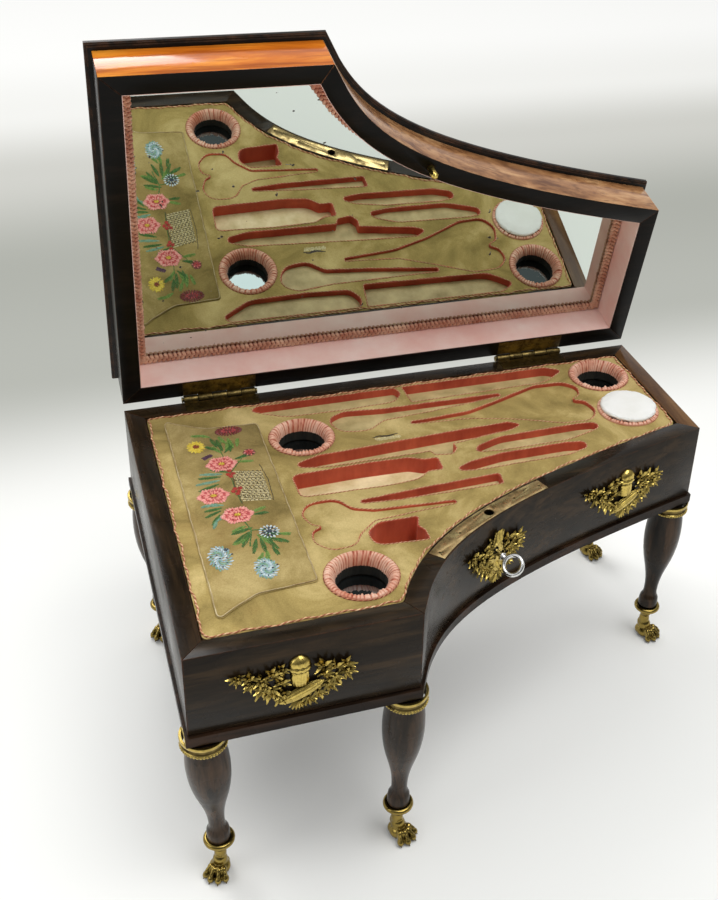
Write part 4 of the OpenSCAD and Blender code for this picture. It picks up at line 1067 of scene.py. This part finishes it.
# %% One stitch, and lists of stitches
clear()
bpy.ops.mesh.primitive_uv_sphere_add(segments=6, ring_count=6, radius=0.5)
stitch = started("stitch")
bpy.ops.object.mode_set(mode="EDIT")
bpy.ops.mesh.select_all(action="SELECT")
bpy.ops.transform.rotate(value=math.pi / 2, orient_axis="Y", center_override=(0, 0, 0))
bpy.ops.object.mode_set(mode="OBJECT")
panel_top = face / MM + 1.0
dice = random.Random(77)
threads = {}


def sew(thread, x, y, angle, length, width=0.7, height=0.55, lift=0.0):
    """One stitch of a thread, its middle at x, y, its angle in degrees."""
    angle = math.radians(angle + dice.uniform(-7, 7))
    size = dice.uniform(0.88, 1.12)
    threads.setdefault(thread, []).append(
        Matrix.Translation(at(x + dice.uniform(-0.12, 0.12), y + dice.uniform(-0.12, 0.12), panel_top + lift)) @
        Matrix.Rotation(angle, 4, "Z") @ Matrix.Diagonal((length * size * MM, width * MM, height * MM, 1)))


def round_of(thread, x, y, reach, count, length, width=0.7, stretch=1.0, start=0.0, lift=0.0, lobes=0):
    """Stitches that stand out from a middle like petals."""
    for k in range(count):
        a = start + 360 * k / count
        far = reach * (1 + (0.1 * math.cos(math.radians(a * lobes)) if lobes else 0))
        sew(thread, x + far * stretch * math.cos(math.radians(a)), y + far * math.sin(math.radians(a)), a,
            length, width, 0.6, lift)


def leaf(thread, x, y, angle, length, width=1.5):
    """A leaf: a midrib with slanted stitches on both sides."""
    c, s = math.cos(math.radians(angle)), math.sin(math.radians(angle))
    for k in range(int(length / 1.1)):
        far = (k + 0.5) * 1.1
        side = width * math.sin(math.pi * min(1, (far + 0.4) / (length + 0.6))) * 0.5
        for hand in (-1, 1):
            sew(thread, x + far * c - hand * side * s * 0.6, y + far * s + hand * side * c * 0.6,
                angle + hand * 28, 1.3 + side, 0.62)
    sew(thread, x + length * 0.5 * c, y + length * 0.5 * s, angle, length, 0.45, 0.6, 0.12)


def stem(thread, points, width=0.5):
    for (x0, y0), (x1, y1) in zip(points, points[1:]):
        far = math.hypot(x1 - x0, y1 - y0)
        count = max(1, round(far / 2.2))
        for k in range(count):
            t = (k + 0.5) / count
            sew(thread, x0 + (x1 - x0) * t, y0 + (y1 - y0) * t, math.degrees(math.atan2(y1 - y0, x1 - x0)),
                far / count * 1.25, width)


# %% Stems and leaves
stem("leaf_green", [(45, 100), (44, 112), (44, 128), (43, 150), (46, 160)])
stem("leaf_green", [(45, 128), (52, 138), (55, 144)])
stem("leaf_green", [(42, 92), (45, 78), (42, 66)], 0.8)
stem("leaf_green", [(45, 78), (52, 77)], 0.8)
for x, y, angle, length in ((43, 146, 118, 8), (44, 148, 96, 11), (46, 148, 72, 10), (45, 146, 52, 9),
                            (48, 146, 84, 11), (41, 149, 134, 7), (50, 149, 98, 10), (52, 150, 78, 8),
                            (42, 152, 104, 9), (47, 154, 112, 8), (49, 139, 14, 9), (50, 136, -8, 8),
                            (38, 164, 170, 8), (40, 162, 150, 6), (46, 80, 195, 11), (44, 77, 218, 11),
                            (44, 76, 240, 11), (47, 74, 300, 10), (48, 92, 20, 8), (49, 90, 0, 7),
                            (46, 71, 252, 11), (48, 71, 272, 11), (50, 71, 294, 11), (49, 73, 318, 11),
                            (50, 75, 336, 9), (43, 82, 205, 8), (47, 60, 240, 8), (49, 61, 262, 8),
                            (52, 63, 285, 7), (55, 69, 320, 7), (57, 72, 345, 6), (42, 72, 200, 8)):
    leaf("leaf_green" if length % 2 else "young_green", x, y, angle, length, 2.2)
for x, y, angle, length in ((40, 127, 168, 11), (39, 125, 176, 12), (38, 122, 186, 13), (37, 119, 200, 12),
                            (43, 128, 152, 9), (36, 116, 214, 9), (36, 101, 168, 8), (35, 99, 186, 9),
                            (34, 97, 205, 9), (38, 96, 224, 10), (33, 94, 236, 9), (33, 103, 188, 8),
                            (31, 91, 250, 8)):
    leaf("sea_green" if length % 3 else "leaf_green", x, y, angle, length, 1.9)

# %% Flowers
for x, y in ((41.4, 135.8), (32.7, 109.6), (41.0, 91.4)):
    for ring_reach, count, thread in ((1.2, 8, "deep_rose"), (2.7, 16, "pale_rose"), (4.0, 24, "deep_rose"),
                                      (5.4, 34, "pale_rose")):
        round_of(thread, x, y, ring_reach, count, 2.7, 1.25, 1.2, ring_reach * 9, ring_reach * 0.03, 6)
    round_of("pale_rose", x, y, 3.3, 15, 2.0, 0.95, 1.2, 5, 0.3)
    round_of("deep_rose", x, y, 4.7, 12, 1.5, 0.6, 1.2, 14, 0.3)
    round_of("deep_rose", x, y, 1.9, 9, 1.5, 0.6, 1.2, 0, 0.35)
    round_of("yellow", x, y, 0.8, 7, 1.5, 0.7, 1.3, 10, 0.4)
for reach, count in ((1.6, 12), (3.6, 20)):
    round_of("yellow", 31.4, 154.6, reach, count, 3.6, 1.15, 0.8, reach * 5, 0.0, 5)
round_of("yellow", 31.4, 154.6, 5.0, 14, 2.0, 0.9, 0.8)
round_of("red_brown", 31.4, 154.6, 1.0, 9, 2.0, 0.8, 0.9, 0, 0.25)
for reach, count in ((1.0, 10), (2.3, 18), (3.6, 26)):
    round_of("maroon", 50.4, 165.6, reach, count, 2.6, 1.0, 1.7, reach * 7, 0.1)
round_of("deep_rose", 50.4, 165.6, 1.7, 12, 1.8, 0.6, 1.9, 9, 0.3)
round_of("red_brown", 50.4, 165.6, 3.1, 14, 1.5, 0.6, 1.8, 3, 0.3)
for reach, count in ((1.0, 8), (2.3, 16)):
    round_of("maroon", 57, 143, reach, count, 2.6, 1.0, 0.95, reach * 7)
round_of("deep_rose", 57, 143, 1.4, 10, 2.0, 0.8, 0.95, 12, 0.25)
round_of("pale_rose", 57, 142.6, 2.4, 7, 1.4, 0.6, 0.95, 30, 0.3)
for k in range(12):
    sew("purple", 37.5 - (k % 6) * 0.8, 145.4 - (k % 6) * 0.3 - (k // 6) * 1.2, 130 + k * 14, 2.6, 1.0)
round_of("white_blue", 53, 74.8, 4.3, 16, 2.0, 1.1, 0.95, 0, 0.05)
round_of("dark_blue", 53, 74.8, 3.0, 11, 2.4, 1.1, 0.95, 20, 0.1)
round_of("white_blue", 53, 74.8, 2.0, 7, 1.4, 0.8, 0.95, 8, 0.25)
round_of("dark_blue", 53, 74.8, 0.8, 7, 1.6, 0.9, 1.0, 0, 0.3)
for middle_x, middle_y, count, tall in ((27.3, 61.2, 86, 1.35), (46.0, 48.6, 92, 1.1)):
    for k in range(count):
        a, far = k * 137.5, 6.6 * math.sqrt((k + 0.5) / count)
        px = middle_x + far * 0.78 * math.cos(math.radians(a))
        py = middle_y + far * tall * math.sin(math.radians(a))
        sew(("pale_blue", "white_blue", "pale_blue", "sea_green")[k % 4], px, py, a + 30, 2.1, 1.0, 0.6, 0.1)
        if k % 9 == 4:
            sew("dark_blue", px + 0.8, py, a, 1.1, 0.7, 0.6, 0.25)
for k in range(7):
    sew("dark_blue", 30.5 + 0.5 * (k % 3), 66.5 - 0.5 * (k % 2), k * 40, 1.8, 0.9, 0.6, 0.2)
print("stitches:", sum(map(len, threads.values())))

# %% Basket and berries
for k in range(18):
    stem("basket_cream", [(45.3, 102.5 + 1.5 * k), (59.7, 100 + 1.4 * k)], 1.0)
for k in range(-5, 7):
    first, last = max(0.0, k / 7), min(1.0, 1 + k / 7)
    for hand in (0, 1):
        ends = [(u, abs(hand - (u - k / 7))) for u in (first, last)]
        stem("basket_brown", [(45.3 + 14.4 * u, 102 + 26 * v - 2.2 * u) for u, v in ends], 0.55)
stem("basket_brown", [(60.5, 99), (61.5, 116), (60, 131)], 0.5)
stem("basket_brown", [(45, 100), (44.4, 116), (45, 130)], 0.7)
for x, y in ((44, 129), (45.5, 126), (43, 126), (44, 124), (44, 113), (45.5, 110.5), (42.8, 111), (46.5, 113),
             (44.5, 108.5)):
    round_of("berry_red", x, y, 0.6, 6, 1.6, 1.1, lift=0.15)

# %% The tear in the velvet
for k in range(9):
    sew("tear_dark", 124.5 + k * 1.5, 141.2 + 0.5 * math.sin(k), 2, 2.8, 1.9 - 0.3 * abs(k - 4), 0.3, -1.0)
for k in range(44):
    sew("basket_cream", 124.5 + k * 0.31, 139.7 - 0.8 * (k % 3), 80 + 9 * (k % 5), 1.9, 0.7, 0.24, -1.02)

# %% The threads become pieces
COLOURS = {"leaf_green": ((38, 78, 30), (84, 134, 60)), "young_green": ((74, 116, 44), (140, 172, 84)),
           "sea_green": ((84, 132, 108), (150, 190, 164)), "deep_rose": ((168, 50, 56), (220, 98, 96)),
           "pale_rose": ((222, 120, 112), (250, 186, 172)), "yellow": ((196, 160, 30), (246, 224, 90)),
           "red_brown": ((110, 44, 24), (160, 74, 40)), "maroon": ((84, 30, 34), (146, 66, 66)),
           "purple": ((60, 32, 52), (104, 66, 88)), "dark_blue": ((26, 34, 46), (66, 82, 96)),
           "white_blue": ((170, 190, 196), (222, 232, 232)), "pale_blue": ((116, 148, 158), (176, 202, 206)),
           "basket_brown": ((58, 48, 26), (108, 92, 56)), "basket_cream": ((176, 162, 112), (226, 214, 170)),
           "berry_red": ((138, 34, 26), (196, 62, 50)), "tear_dark": ((26, 18, 10), (58, 42, 24))}
for thread, (dark, light) in COLOURS.items():
    silk = silken(thread + "_thread", rgb(*dark), rgb(*light), 900.0, rough=0.42, sheen=0.3)
    sewn = strewn("embroidery_" + thread, stitch, threads[thread], silk)
    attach(sewn, "tray")
bpy.data.objects.remove(stitch)
print("threads:", len(COLOURS))

# %% [markdown]
# ## Padding and seams of the panel
# The panel's own velvet is turned over a padded card, so its edge is soft. A copy of the CAD piece gets
# rounded edges, and a fine seam of pale thread runs along its border.

# %% Panel
panel = dressed("embroidered_panel", "panel_velvet", 0.25, 2, 70)
coat(panel_velvet, panel)
edge_loop = max(outlines("embroidered_panel", face + 0.0005), key=length_of)
seam_thread = silken("seam_thread", rgb(150, 118, 70), rgb(216, 200, 156), 120.0, rough=0.5)
seam = twisted("panel_seam", [sideways(evened(edge_loop, 0.8 * MM, 2), -0.55 * MM, 0.42 * MM)],
               0.14 * MM, 0.2 * MM, 2.4 * MM, (seam_thread, seam_thread), 0.15 * MM, 3)
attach(seam, "tray")
print("panel seam", round(length_of(edge_loop) / MM), "mm")

# %% [markdown]
# ## Places on the curved wall
# The mounts lie on walls, two of them on the curved bentside. The maker's curve is a Bézier curve with
# four points, so the place and the direction at any distance along it can be worked out. The helper
# returns a matrix that stands a flat ornament on the wall: x along it, y up, z outwards.

# %% Standing an ornament on a wall
CURVE = [Vector(p) for p in ((106, 0), (124.17, 38.97), (146.69, 64.78), (300, 103))]
MOUNT_Z = 128.0


def on_curve(t):
    a, b, c, d = CURVE
    u = 1 - t
    return (a * u ** 3 + b * 3 * u * u * t + c * 3 * u * t * t + d * t ** 3,
            (b - a) * 3 * u * u + (c - b) * 6 * u * t + (d - c) * 3 * t * t)


def on_wall(wall, x, y, out=0.0, turn=0.0):
    """A matrix for an ornament x mm along the wall and y mm above the mount's middle, turned in degrees."""
    if wall == "cheek":
        place, along = Vector((47.7 + x, 0)), Vector((1, 0))
    else:
        half = wall + x / 2 / on_curve(wall)[1].length
        place, along = on_curve(wall + x / on_curve(half)[1].length)
        along = along.normalized()
    away = Vector((along.y, -along.x, 0))
    spot = at(place.x, place.y, MOUNT_Z + y) + away * out * MM
    basis = Matrix((along.to_3d(), (0, 0, 1), away)).transposed().to_4x4()
    return Matrix.Translation(spot) @ basis @ Matrix.Rotation(math.radians(turn), 4, "Z")


print("keyhole mount stands at", [round(v / MM, 1) for v in on_wall(0.555, 0, 0).translation])

# %% [markdown]
# ## Leaves, berries and rosettes of the mounts
# Such mounts were cast from a few carved models and then chased. So three small things are modelled: a
# pointed leaf with a raised midrib and lobed edges, a berry, and a rosette of petals. Each is laid many
# times on the sprays. A leaf starts as a grid that is shaped in edit mode and given thickness.

# %% Leaf, berry and rosette
clear()
bpy.ops.mesh.primitive_grid_add(x_subdivisions=8, y_subdivisions=2, size=1)
leaf_cast = started("cast_leaf")
bpy.ops.object.mode_set(mode="EDIT")
bpy.ops.mesh.select_all(action="SELECT")
bpy.ops.transform.translate(value=(0.5, 0, 0))
bpy.ops.object.mode_set(mode="OBJECT")
for v in leaf_cast.data.vertices:
    t = v.co.x
    across = v.co.y * 2
    lobes = 1 - 0.25 * (round(t * 8) % 2) * (0.15 < t < 0.95)
    v.co.y = across * (0.21 * math.sin(math.pi * min(1, t ** 0.8)) ** 0.8 * lobes + 0.02)
    v.co.x = t - 0.07 * abs(across) * (0.2 < t < 0.95)
    v.co.z = 0.02 + 0.17 * (1 - abs(across)) * math.sin(math.pi * (0.1 + 0.8 * t)) + 0.08 * t * t
applied(leaf_cast, "SOLIDIFY", thickness=0.09, offset=-1)
smoothed(leaf_cast, 50)
clear()
bpy.ops.mesh.primitive_uv_sphere_add(segments=10, ring_count=6, radius=0.5)
berry = started("berry")
smoothed(berry, 80)
petals = [copied(leaf_cast, Matrix.Rotation(math.radians(72 * k), 4, "Z") @ Matrix.Rotation(-0.35, 4, "Y") @
                 Matrix.Diagonal((0.5, 1.0, 0.8, 1))) for k in range(5)]
petals += [copied(leaf_cast, Matrix.Translation((0, 0, 0.08)) @ Matrix.Rotation(math.radians(36 + 72 * k), 4, "Z") @
                  Matrix.Rotation(-0.7, 4, "Y") @ Matrix.Diagonal((0.3, 0.7, 0.6, 1))) for k in range(5)]
rosette = joined("rosette", petals + [copied(berry, Matrix.Translation((0, 0, 0.16)) @ Matrix.Scale(0.28, 4))])
print("leaf", len(leaf_cast.data.polygons), "rosette", len(rosette.data.polygons), "faces")

# %% [markdown]
# ## The trophy in the middle
# Between the sprays stand an urn with a domed lid and, laid across it, a ribbed quiver. Both are half
# round reliefs. The urn is a spun profile pressed flat. The quiver is a sphere drawn out long, whose
# points are moved in and out in eight ribs.


# %% Urn and quiver
def spun(name, profile, steps=32, squash=1.0):
    """A profile of radius and height turned round the upright axis."""
    clear()
    bpy.ops.mesh.primitive_plane_add(size=MM)
    piece = started(name)
    net = bmesh.new()
    line = [net.verts.new((r, 0, z)) for r, z in profile]
    for a, b in zip(line, line[1:]):
        net.edges.new((a, b))
    net.to_mesh(piece.data)
    net.free()
    bpy.ops.object.mode_set(mode="EDIT")
    bpy.ops.mesh.select_all(action="SELECT")
    bpy.ops.mesh.spin(steps=steps, angle=math.tau, center=(0, 0, 0), axis=(0, 0, 1))
    bpy.ops.mesh.select_all(action="SELECT")
    bpy.ops.mesh.remove_doubles(threshold=0.00001)
    bpy.ops.mesh.normals_make_consistent(inside=False)
    bpy.ops.transform.resize(value=(1, squash, 1))
    bpy.ops.object.mode_set(mode="OBJECT")
    smoothed(piece, 50)
    return piece


urn = spun("urn", [(0, -5.5), (3.2, -5.5), (4.0, -4.8), (4.3, -2), (4.2, 1.4), (3.8, 2.9), (3.1, 3.3), (4.9, 3.6),
                   (5.3, 4.4), (4.7, 5.3), (4.1, 5.7), (4.9, 6.2), (4.6, 7.8), (3.3, 9.4), (1.3, 10.6), (0, 11.0)],
           64, 0.62)
for v in urn.data.vertices:
    around = math.atan2(v.co.y, v.co.x)
    staves = 6 if v.co.z < 3 else 4
    v.co.y *= 1 + 0.16 * abs(math.sin(around * staves + (0.9 * v.co.z if v.co.z > 3 else 0)))
bpy.ops.object.mode_set(mode="EDIT")
bpy.ops.mesh.select_all(action="SELECT")
bpy.ops.transform.rotate(value=math.pi / 2, orient_axis="X", center_override=(0, 0, 0))
bpy.ops.object.mode_set(mode="OBJECT")
if max(v.co.y for v in urn.data.vertices) < 10:
    urn.data.transform(Matrix.Rotation(math.pi, 4, "X"))
clear()
bpy.ops.mesh.primitive_uv_sphere_add(segments=48, ring_count=20, radius=1)
quiver = started("quiver")
for v in quiver.data.vertices:
    x, y, z = v.co.z, v.co.x, v.co.y
    around = math.atan2(z, y)
    rib = 1 + 0.2 * abs(math.sin(around * 5)) ** 0.8
    full = max(0.0, 1 - abs(x) ** 2.4) ** 0.75 / math.hypot(y, z) if math.hypot(y, z) > 0.001 else 0
    v.co = (x * 11.2, y * full * 2.5 * rib, z * full * 1.8 * rib)
smoothed(quiver, 60)
band = spun("band", [(1.2, -0.35), (1.95, -0.3), (2.1, 0), (1.95, 0.3), (1.2, 0.35)], 32, 0.8)
band.data.transform(Matrix.Rotation(math.pi / 2, 4, "Y"))
quiver = joined("quiver", [quiver, copied(band, Matrix.Translation((8.3, 0, 0))),
                           copied(band, Matrix.Translation((-8.6, 0, 0)) @ Matrix.Scale(0.9, 4)), band])
print("urn", [round(v) for v in urn.dimensions], "quiver", [round(v) for v in quiver.dimensions])


# %% [markdown]
# ## Laying the mounts
# A spray is a bowed twig with tufts of narrow leaves, each tuft laid out after the photograph: the left
# spray climbs, the right one runs lower and turns up at its end. A few leaves fan out below.
# The keyhole mount has no urn: a tall plume with scales stands above the keyhole instead.


# %% Sprays and mounts
LEFT = [(-25, 6.0, 160, 4.8), (-20, 4.4, 100, 5.2), (-19.5, 1.2, 220, 4.4), (-14.8, 2.0, 100, 5.4), (-14.5, -2.4, 232, 5.4),
        (-10.6, 4.2, 75, 5.8), (-6.4, 6.2, 62, 4.6), (-10.6, -4.6, 246, 5.8), (-6.6, -1.2, 80, 5.4), (-5.6, -7.6, 238, 5.8)]
RIGHT = [(22.4, 2.2, 72, 5.6), (22.6, -1.8, -12, 4.6), (18, -3.8, -62, 4.8), (17.4, 2.0, 92, 5.8), (12.4, 4.2, 104, 6.2),
         (12.8, -0.8, 60, 5.0), (14.6, -7.4, -52, 5.0), (10, -10.4, -72, 5.0), (5.6, -12.6, -82, 4.8)]
TWIGS = [(-3, -9, -15, -2.5), (-15, -2.5, -25, 6), (-9, -5, -6, 5.5), (7, -8, 16, -4.5), (16, -4.5, 24, -1),
         (13, -4, 12, 5), (19, -3, 22, 4)]


def cast(kind, wall, x, y, turn, size, out=0.1, tilt=0.0, long=1.0):
    m = on_wall(wall, x, y, out, turn) @ Matrix.Rotation(-math.radians(tilt), 4, "Y")
    castings.setdefault(kind, []).append(m @ Matrix.Diagonal((size * long * MM, size * MM, size * MM, 1)))


def tuft(wall, x, y, aim, size, dice):
    """Seven narrow leaves round a point, the longest ones in the direction of aim."""
    for k in range(7):
        fan = (k - 3) * 42 + dice.uniform(-7, 7)
        cast("leaf", wall, x, y, aim + fan, size * (1.16 - abs(fan) / 300), 0.2 + 0.35 * (k % 2), 8 + 10 * (k % 3),
             dice.uniform(0.9, 1.15))
    for fan in (-52, 0, 52):
        cast("leaf", wall, x, y, aim + fan, size * 0.62, 1.0, 26)
    cast("berry", wall, x, y, 0, size * 0.26, 1.0)


def sprays(wall, seed, squeeze=1.0):
    dice = random.Random(seed)
    for x, y, aim, size in LEFT + RIGHT:
        tuft(wall, x * squeeze, y, aim, size, dice)
    for x, y, x2, y2 in TWIGS:
        far = math.hypot((x2 - x) * squeeze, y2 - y)
        cast("leaf", wall, x * squeeze, y, math.degrees(math.atan2(y2 - y, (x2 - x) * squeeze)), 3.0, 0.2, 0, far / 3.0)
    for x, y, aim, size in LEFT[::3]:
        cast("rosette", wall, x * squeeze, y, aim, size * 1.1, 1.2)


castings = {}
for mount, wall, seed in (("cheek_mount", "cheek", 1), ("keyhole_mount", 0.555, 2), ("tail_mount", 0.875, 3)):
    castings = {}
    sprays(wall, seed, 0.74 if mount == "keyhole_mount" else 1.0)
    for a in (-150, -128, -108, -90, -72, -52, -30):
        cast("leaf", wall, 1.4, -13.2, a, 5.6, 0.3, 6)
    if mount == "keyhole_mount":
        for row in range(5):
            for k in range(-1, 2):
                cast("leaf", wall, k * (2.4 - row * 0.3), 4.5 + row * 1.7, 90 - k * 16, 5.2 - row * 0.3, 0.5 + row * 0.16, 14)
        for k in range(14):
            a = math.radians(k * 360 / 14)
            cast("berry", wall, 4.3 * math.cos(a), 2 + 4.3 * math.sin(a), 0, 1.5, 0.7)
        for a in (200, 225, 250, 290, 315, 340):
            cast("leaf", wall, 3 * math.cos(math.radians(a)), -2 + 3 * math.sin(math.radians(a)), a, 7.0, 0.5, 8)
    else:
        castings["urn"] = [on_wall(wall, 2.0, 1.4, 0.3) @ Matrix.Scale(MM, 4)]
        castings["quiver"] = [on_wall(wall, 2.4, -8.0, 1.6, 24) @ Matrix.Scale(MM, 4)]
    made = [strewn(mount + "_" + kind, {"leaf": leaf_cast, "berry": berry, "rosette": rosette, "urn": urn,
                                        "quiver": quiver}[kind], places, gilt)
            for kind, places in castings.items()]
    if mount == "keyhole_mount":
        plate = dressed(mount, "mount_plate", 0, angle=50)
        pick(plate)
        bpy.ops.object.mode_set(mode="EDIT")
        for x, hand in ((-7, -1), (7, 1)):
            edge = on_wall(wall, x, 0)
            bpy.ops.mesh.select_all(action="SELECT")
            bpy.ops.mesh.bisect(plane_co=edge.translation, plane_no=edge.col[0].xyz * hand, clear_outer=True,
                                use_fill=True)
        bpy.ops.object.mode_set(mode="OBJECT")
        coat(gilt, plate)
        made.append(plate)
    piece = joined(mount + "_chased", made)
    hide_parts(mount)
    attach(piece, "case")
    print(piece.name, len(piece.data.polygons), "faces")
for base in (leaf_cast, berry, rosette, urn, quiver):
    bpy.data.objects.remove(base)

# %% [markdown]
# ## Collars with a beaded rim
# A collar is a band of gilt brass with a flat upper ring, a hollow and a finely beaded lower rim. The
# band is a spun profile. One bead is modelled and set round it forty times. The hollow takes a darker
# brass as painted shade.

# %% Collars
FEET = {}
for leg in ("front_left", "cheek_right", "tail_front", "back_right", "back_left"):
    low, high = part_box(leg + "_collar")
    FEET[leg] = ((low.x + high.x) / 2, (low.y + high.y) / 2)
COLLAR = [(9.6, 0), (10.6, 0), (10.8, -0.3), (10.8, -1.6), (10.5, -2.0), (9.6, -2.3), (9.5, -3.2), (9.6, -4.2),
          (10.1, -4.6), (10.5, -5.0), (10.3, -6.0), (9.8, -6.5), (9.4, -6.5), (9.4, -0.6)]
collar = spun("collar", [(r * MM, z * MM) for r, z in COLLAR + COLLAR[:1]], 96)
clear()
bpy.ops.mesh.primitive_uv_sphere_add(segments=10, ring_count=8, radius=0.72 * MM)
bead = started("bead")
beads = strewn("beads", bead, [Matrix.Rotation(math.tau * k / 44, 4, "Z") @ Matrix.Translation((10.25 * MM, 0, -5.45 * MM))
                               for k in range(44)], gilt_rim_painted_shade)
coat(gilt_rim_painted_shade, collar)
# The hollow of the collar takes the darker old brass: painted shade in the groove
collar.data.materials.append(old_brass)
for f in collar.data.polygons:
    if -4.4 * MM < f.center.z < -1.9 * MM:
        f.material_index = 1
collar = joined("collar", [collar, beads])
bpy.data.objects.remove(bead)
for leg, (x, y) in FEET.items():
    o = copied(collar, Matrix.Translation((x, y, 99 * MM)))
    o.name = leg + "_collar_beaded"
    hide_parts(leg + "_collar")
    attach(o, "case")
bpy.data.objects.remove(collar)
print("collars at", {k: tuple(round(v / MM) for v in p) for k, p in FEET.items()})

# %% [markdown]
# ## Lion paws
# A paw is soft rounded forms that run into each other, which is hard to build face by face. So it is
# put together from stretched spheres, one for each knuckle, toe tip, pad and tuft, and a voxel remesh
# melts them into one skin, which is then smoothed. The sole is cut flat where it stands. The claws and
# the ring stay sharp and are added after.


# %% One paw
def ball(x, y, z, rx, ry, rz, turn=0.0):
    clear()
    bpy.ops.mesh.primitive_uv_sphere_add(segments=24, ring_count=16, radius=MM)
    o = started("ball")
    o.data.transform(Matrix.Rotation(math.radians(turn), 4, "Z") @ Matrix.Translation((x * MM, y * MM, z * MM)) @
                     Matrix.Diagonal((rx, ry, rz, 1)))
    return o


parts = [ball(1.4, 0, 3.4, 5.2, 5.2, 4.0), ball(-1.6, 0, 3.0, 3.4, 4.0, 3.2), ball(0.4, 0, 7.2, 3.7, 3.6, 4.6),
         ball(-0.4, 0, 11.5, 3.1, 3.0, 5.5), ball(0, 0, 17.5, 3.5, 3.5, 3.6), ball(0, 0, 20, 5.2, 5.2, 1.9),
         ball(-2.6, 0, 8.2, 1.7, 2.2, 3.4)]
for k in (-1.5, -0.5, 0.5, 1.5):
    turn = k * 23
    long = 1.0 - 0.07 * abs(k)
    parts += [ball(5.6 * long, 0, 3.9, 4.4, 1.5, 2.9, turn), ball(6.2 * long, 0, 5.5, 2.0, 1.6, 1.9, turn),
              ball(9.3 * long, 0, 2.3, 2.1, 1.75, 2.2, turn)]
paw = joined("paw", parts)
applied(paw, "REMESH", mode="VOXEL", voxel_size=0.32 * MM)
applied(paw, "SMOOTH", factor=0.5, iterations=2)
pick(paw)
bpy.ops.object.mode_set(mode="EDIT")
bpy.ops.mesh.select_all(action="SELECT")
bpy.ops.mesh.bisect(plane_co=(0, 0, 0.00005), plane_no=(0, 0, 1), clear_inner=True, use_fill=True)
bpy.ops.object.mode_set(mode="OBJECT")
lowest = min(v.co.z for v in paw.data.vertices)
paw.data.transform(Matrix.Translation((0, 0, -lowest)))
claws = []
for k in (-1.5, -0.5, 0.5, 1.5):
    clear()
    bpy.ops.mesh.primitive_cone_add(vertices=10, radius1=0.7 * MM, radius2=0.2 * MM, depth=1.6 * MM)
    claw = started("claw")
    long = 1.0 - 0.07 * abs(k)
    claw.data.transform(Matrix.Rotation(math.radians(k * 23), 4, "Z") @ Matrix.Translation((10.9 * long * MM, 0, 1.2 * MM)) @
                        Matrix.Rotation(math.radians(118), 4, "Y"))
    claws.append(claw)
ring = spun("ring", [((6.1 + 1.5 * math.cos(a * math.pi / 8)) * MM, (22 + 1.5 * math.sin(a * math.pi / 8)) * MM)
                     for a in range(17)], 72)
cup = spun("cup", [(r * MM, z * MM) for r, z in ((0, 22.4), (5.0, 22.4), (5.2, 21), (4.6, 19.6), (3.6, 18.6), (0, 18.4))], 48)
paw = joined("paw", [paw, ring, cup] + claws)
smoothed(paw, 60)
coat(paw_gilt_painted_shade, paw)
print("paw", len(paw.data.polygons), "faces")

# %% Five paws
TURNS = {"front_left": 240, "cheek_right": 300, "tail_front": 300, "back_right": 300, "back_left": 240}
for leg in TURNS:
    middle = Vector((0, 0, 0))
    ringed = [v.co for v in nodes[leg + "_paw"].data.vertices if v.co.z > 0.0232]
    for v in ringed:
        middle += v / len(ringed)
    o = copied(paw, Matrix.Translation((middle.x, middle.y, 0)) @ Matrix.Rotation(math.radians(TURNS[leg]), 4, "Z"))
    o.name = leg + "_lion_paw"
    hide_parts(leg + "_paw")
    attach(o, "case")
    print(leg, "paw at", round(middle.x / MM, 1), round(middle.y / MM, 1))
bpy.data.objects.remove(paw)
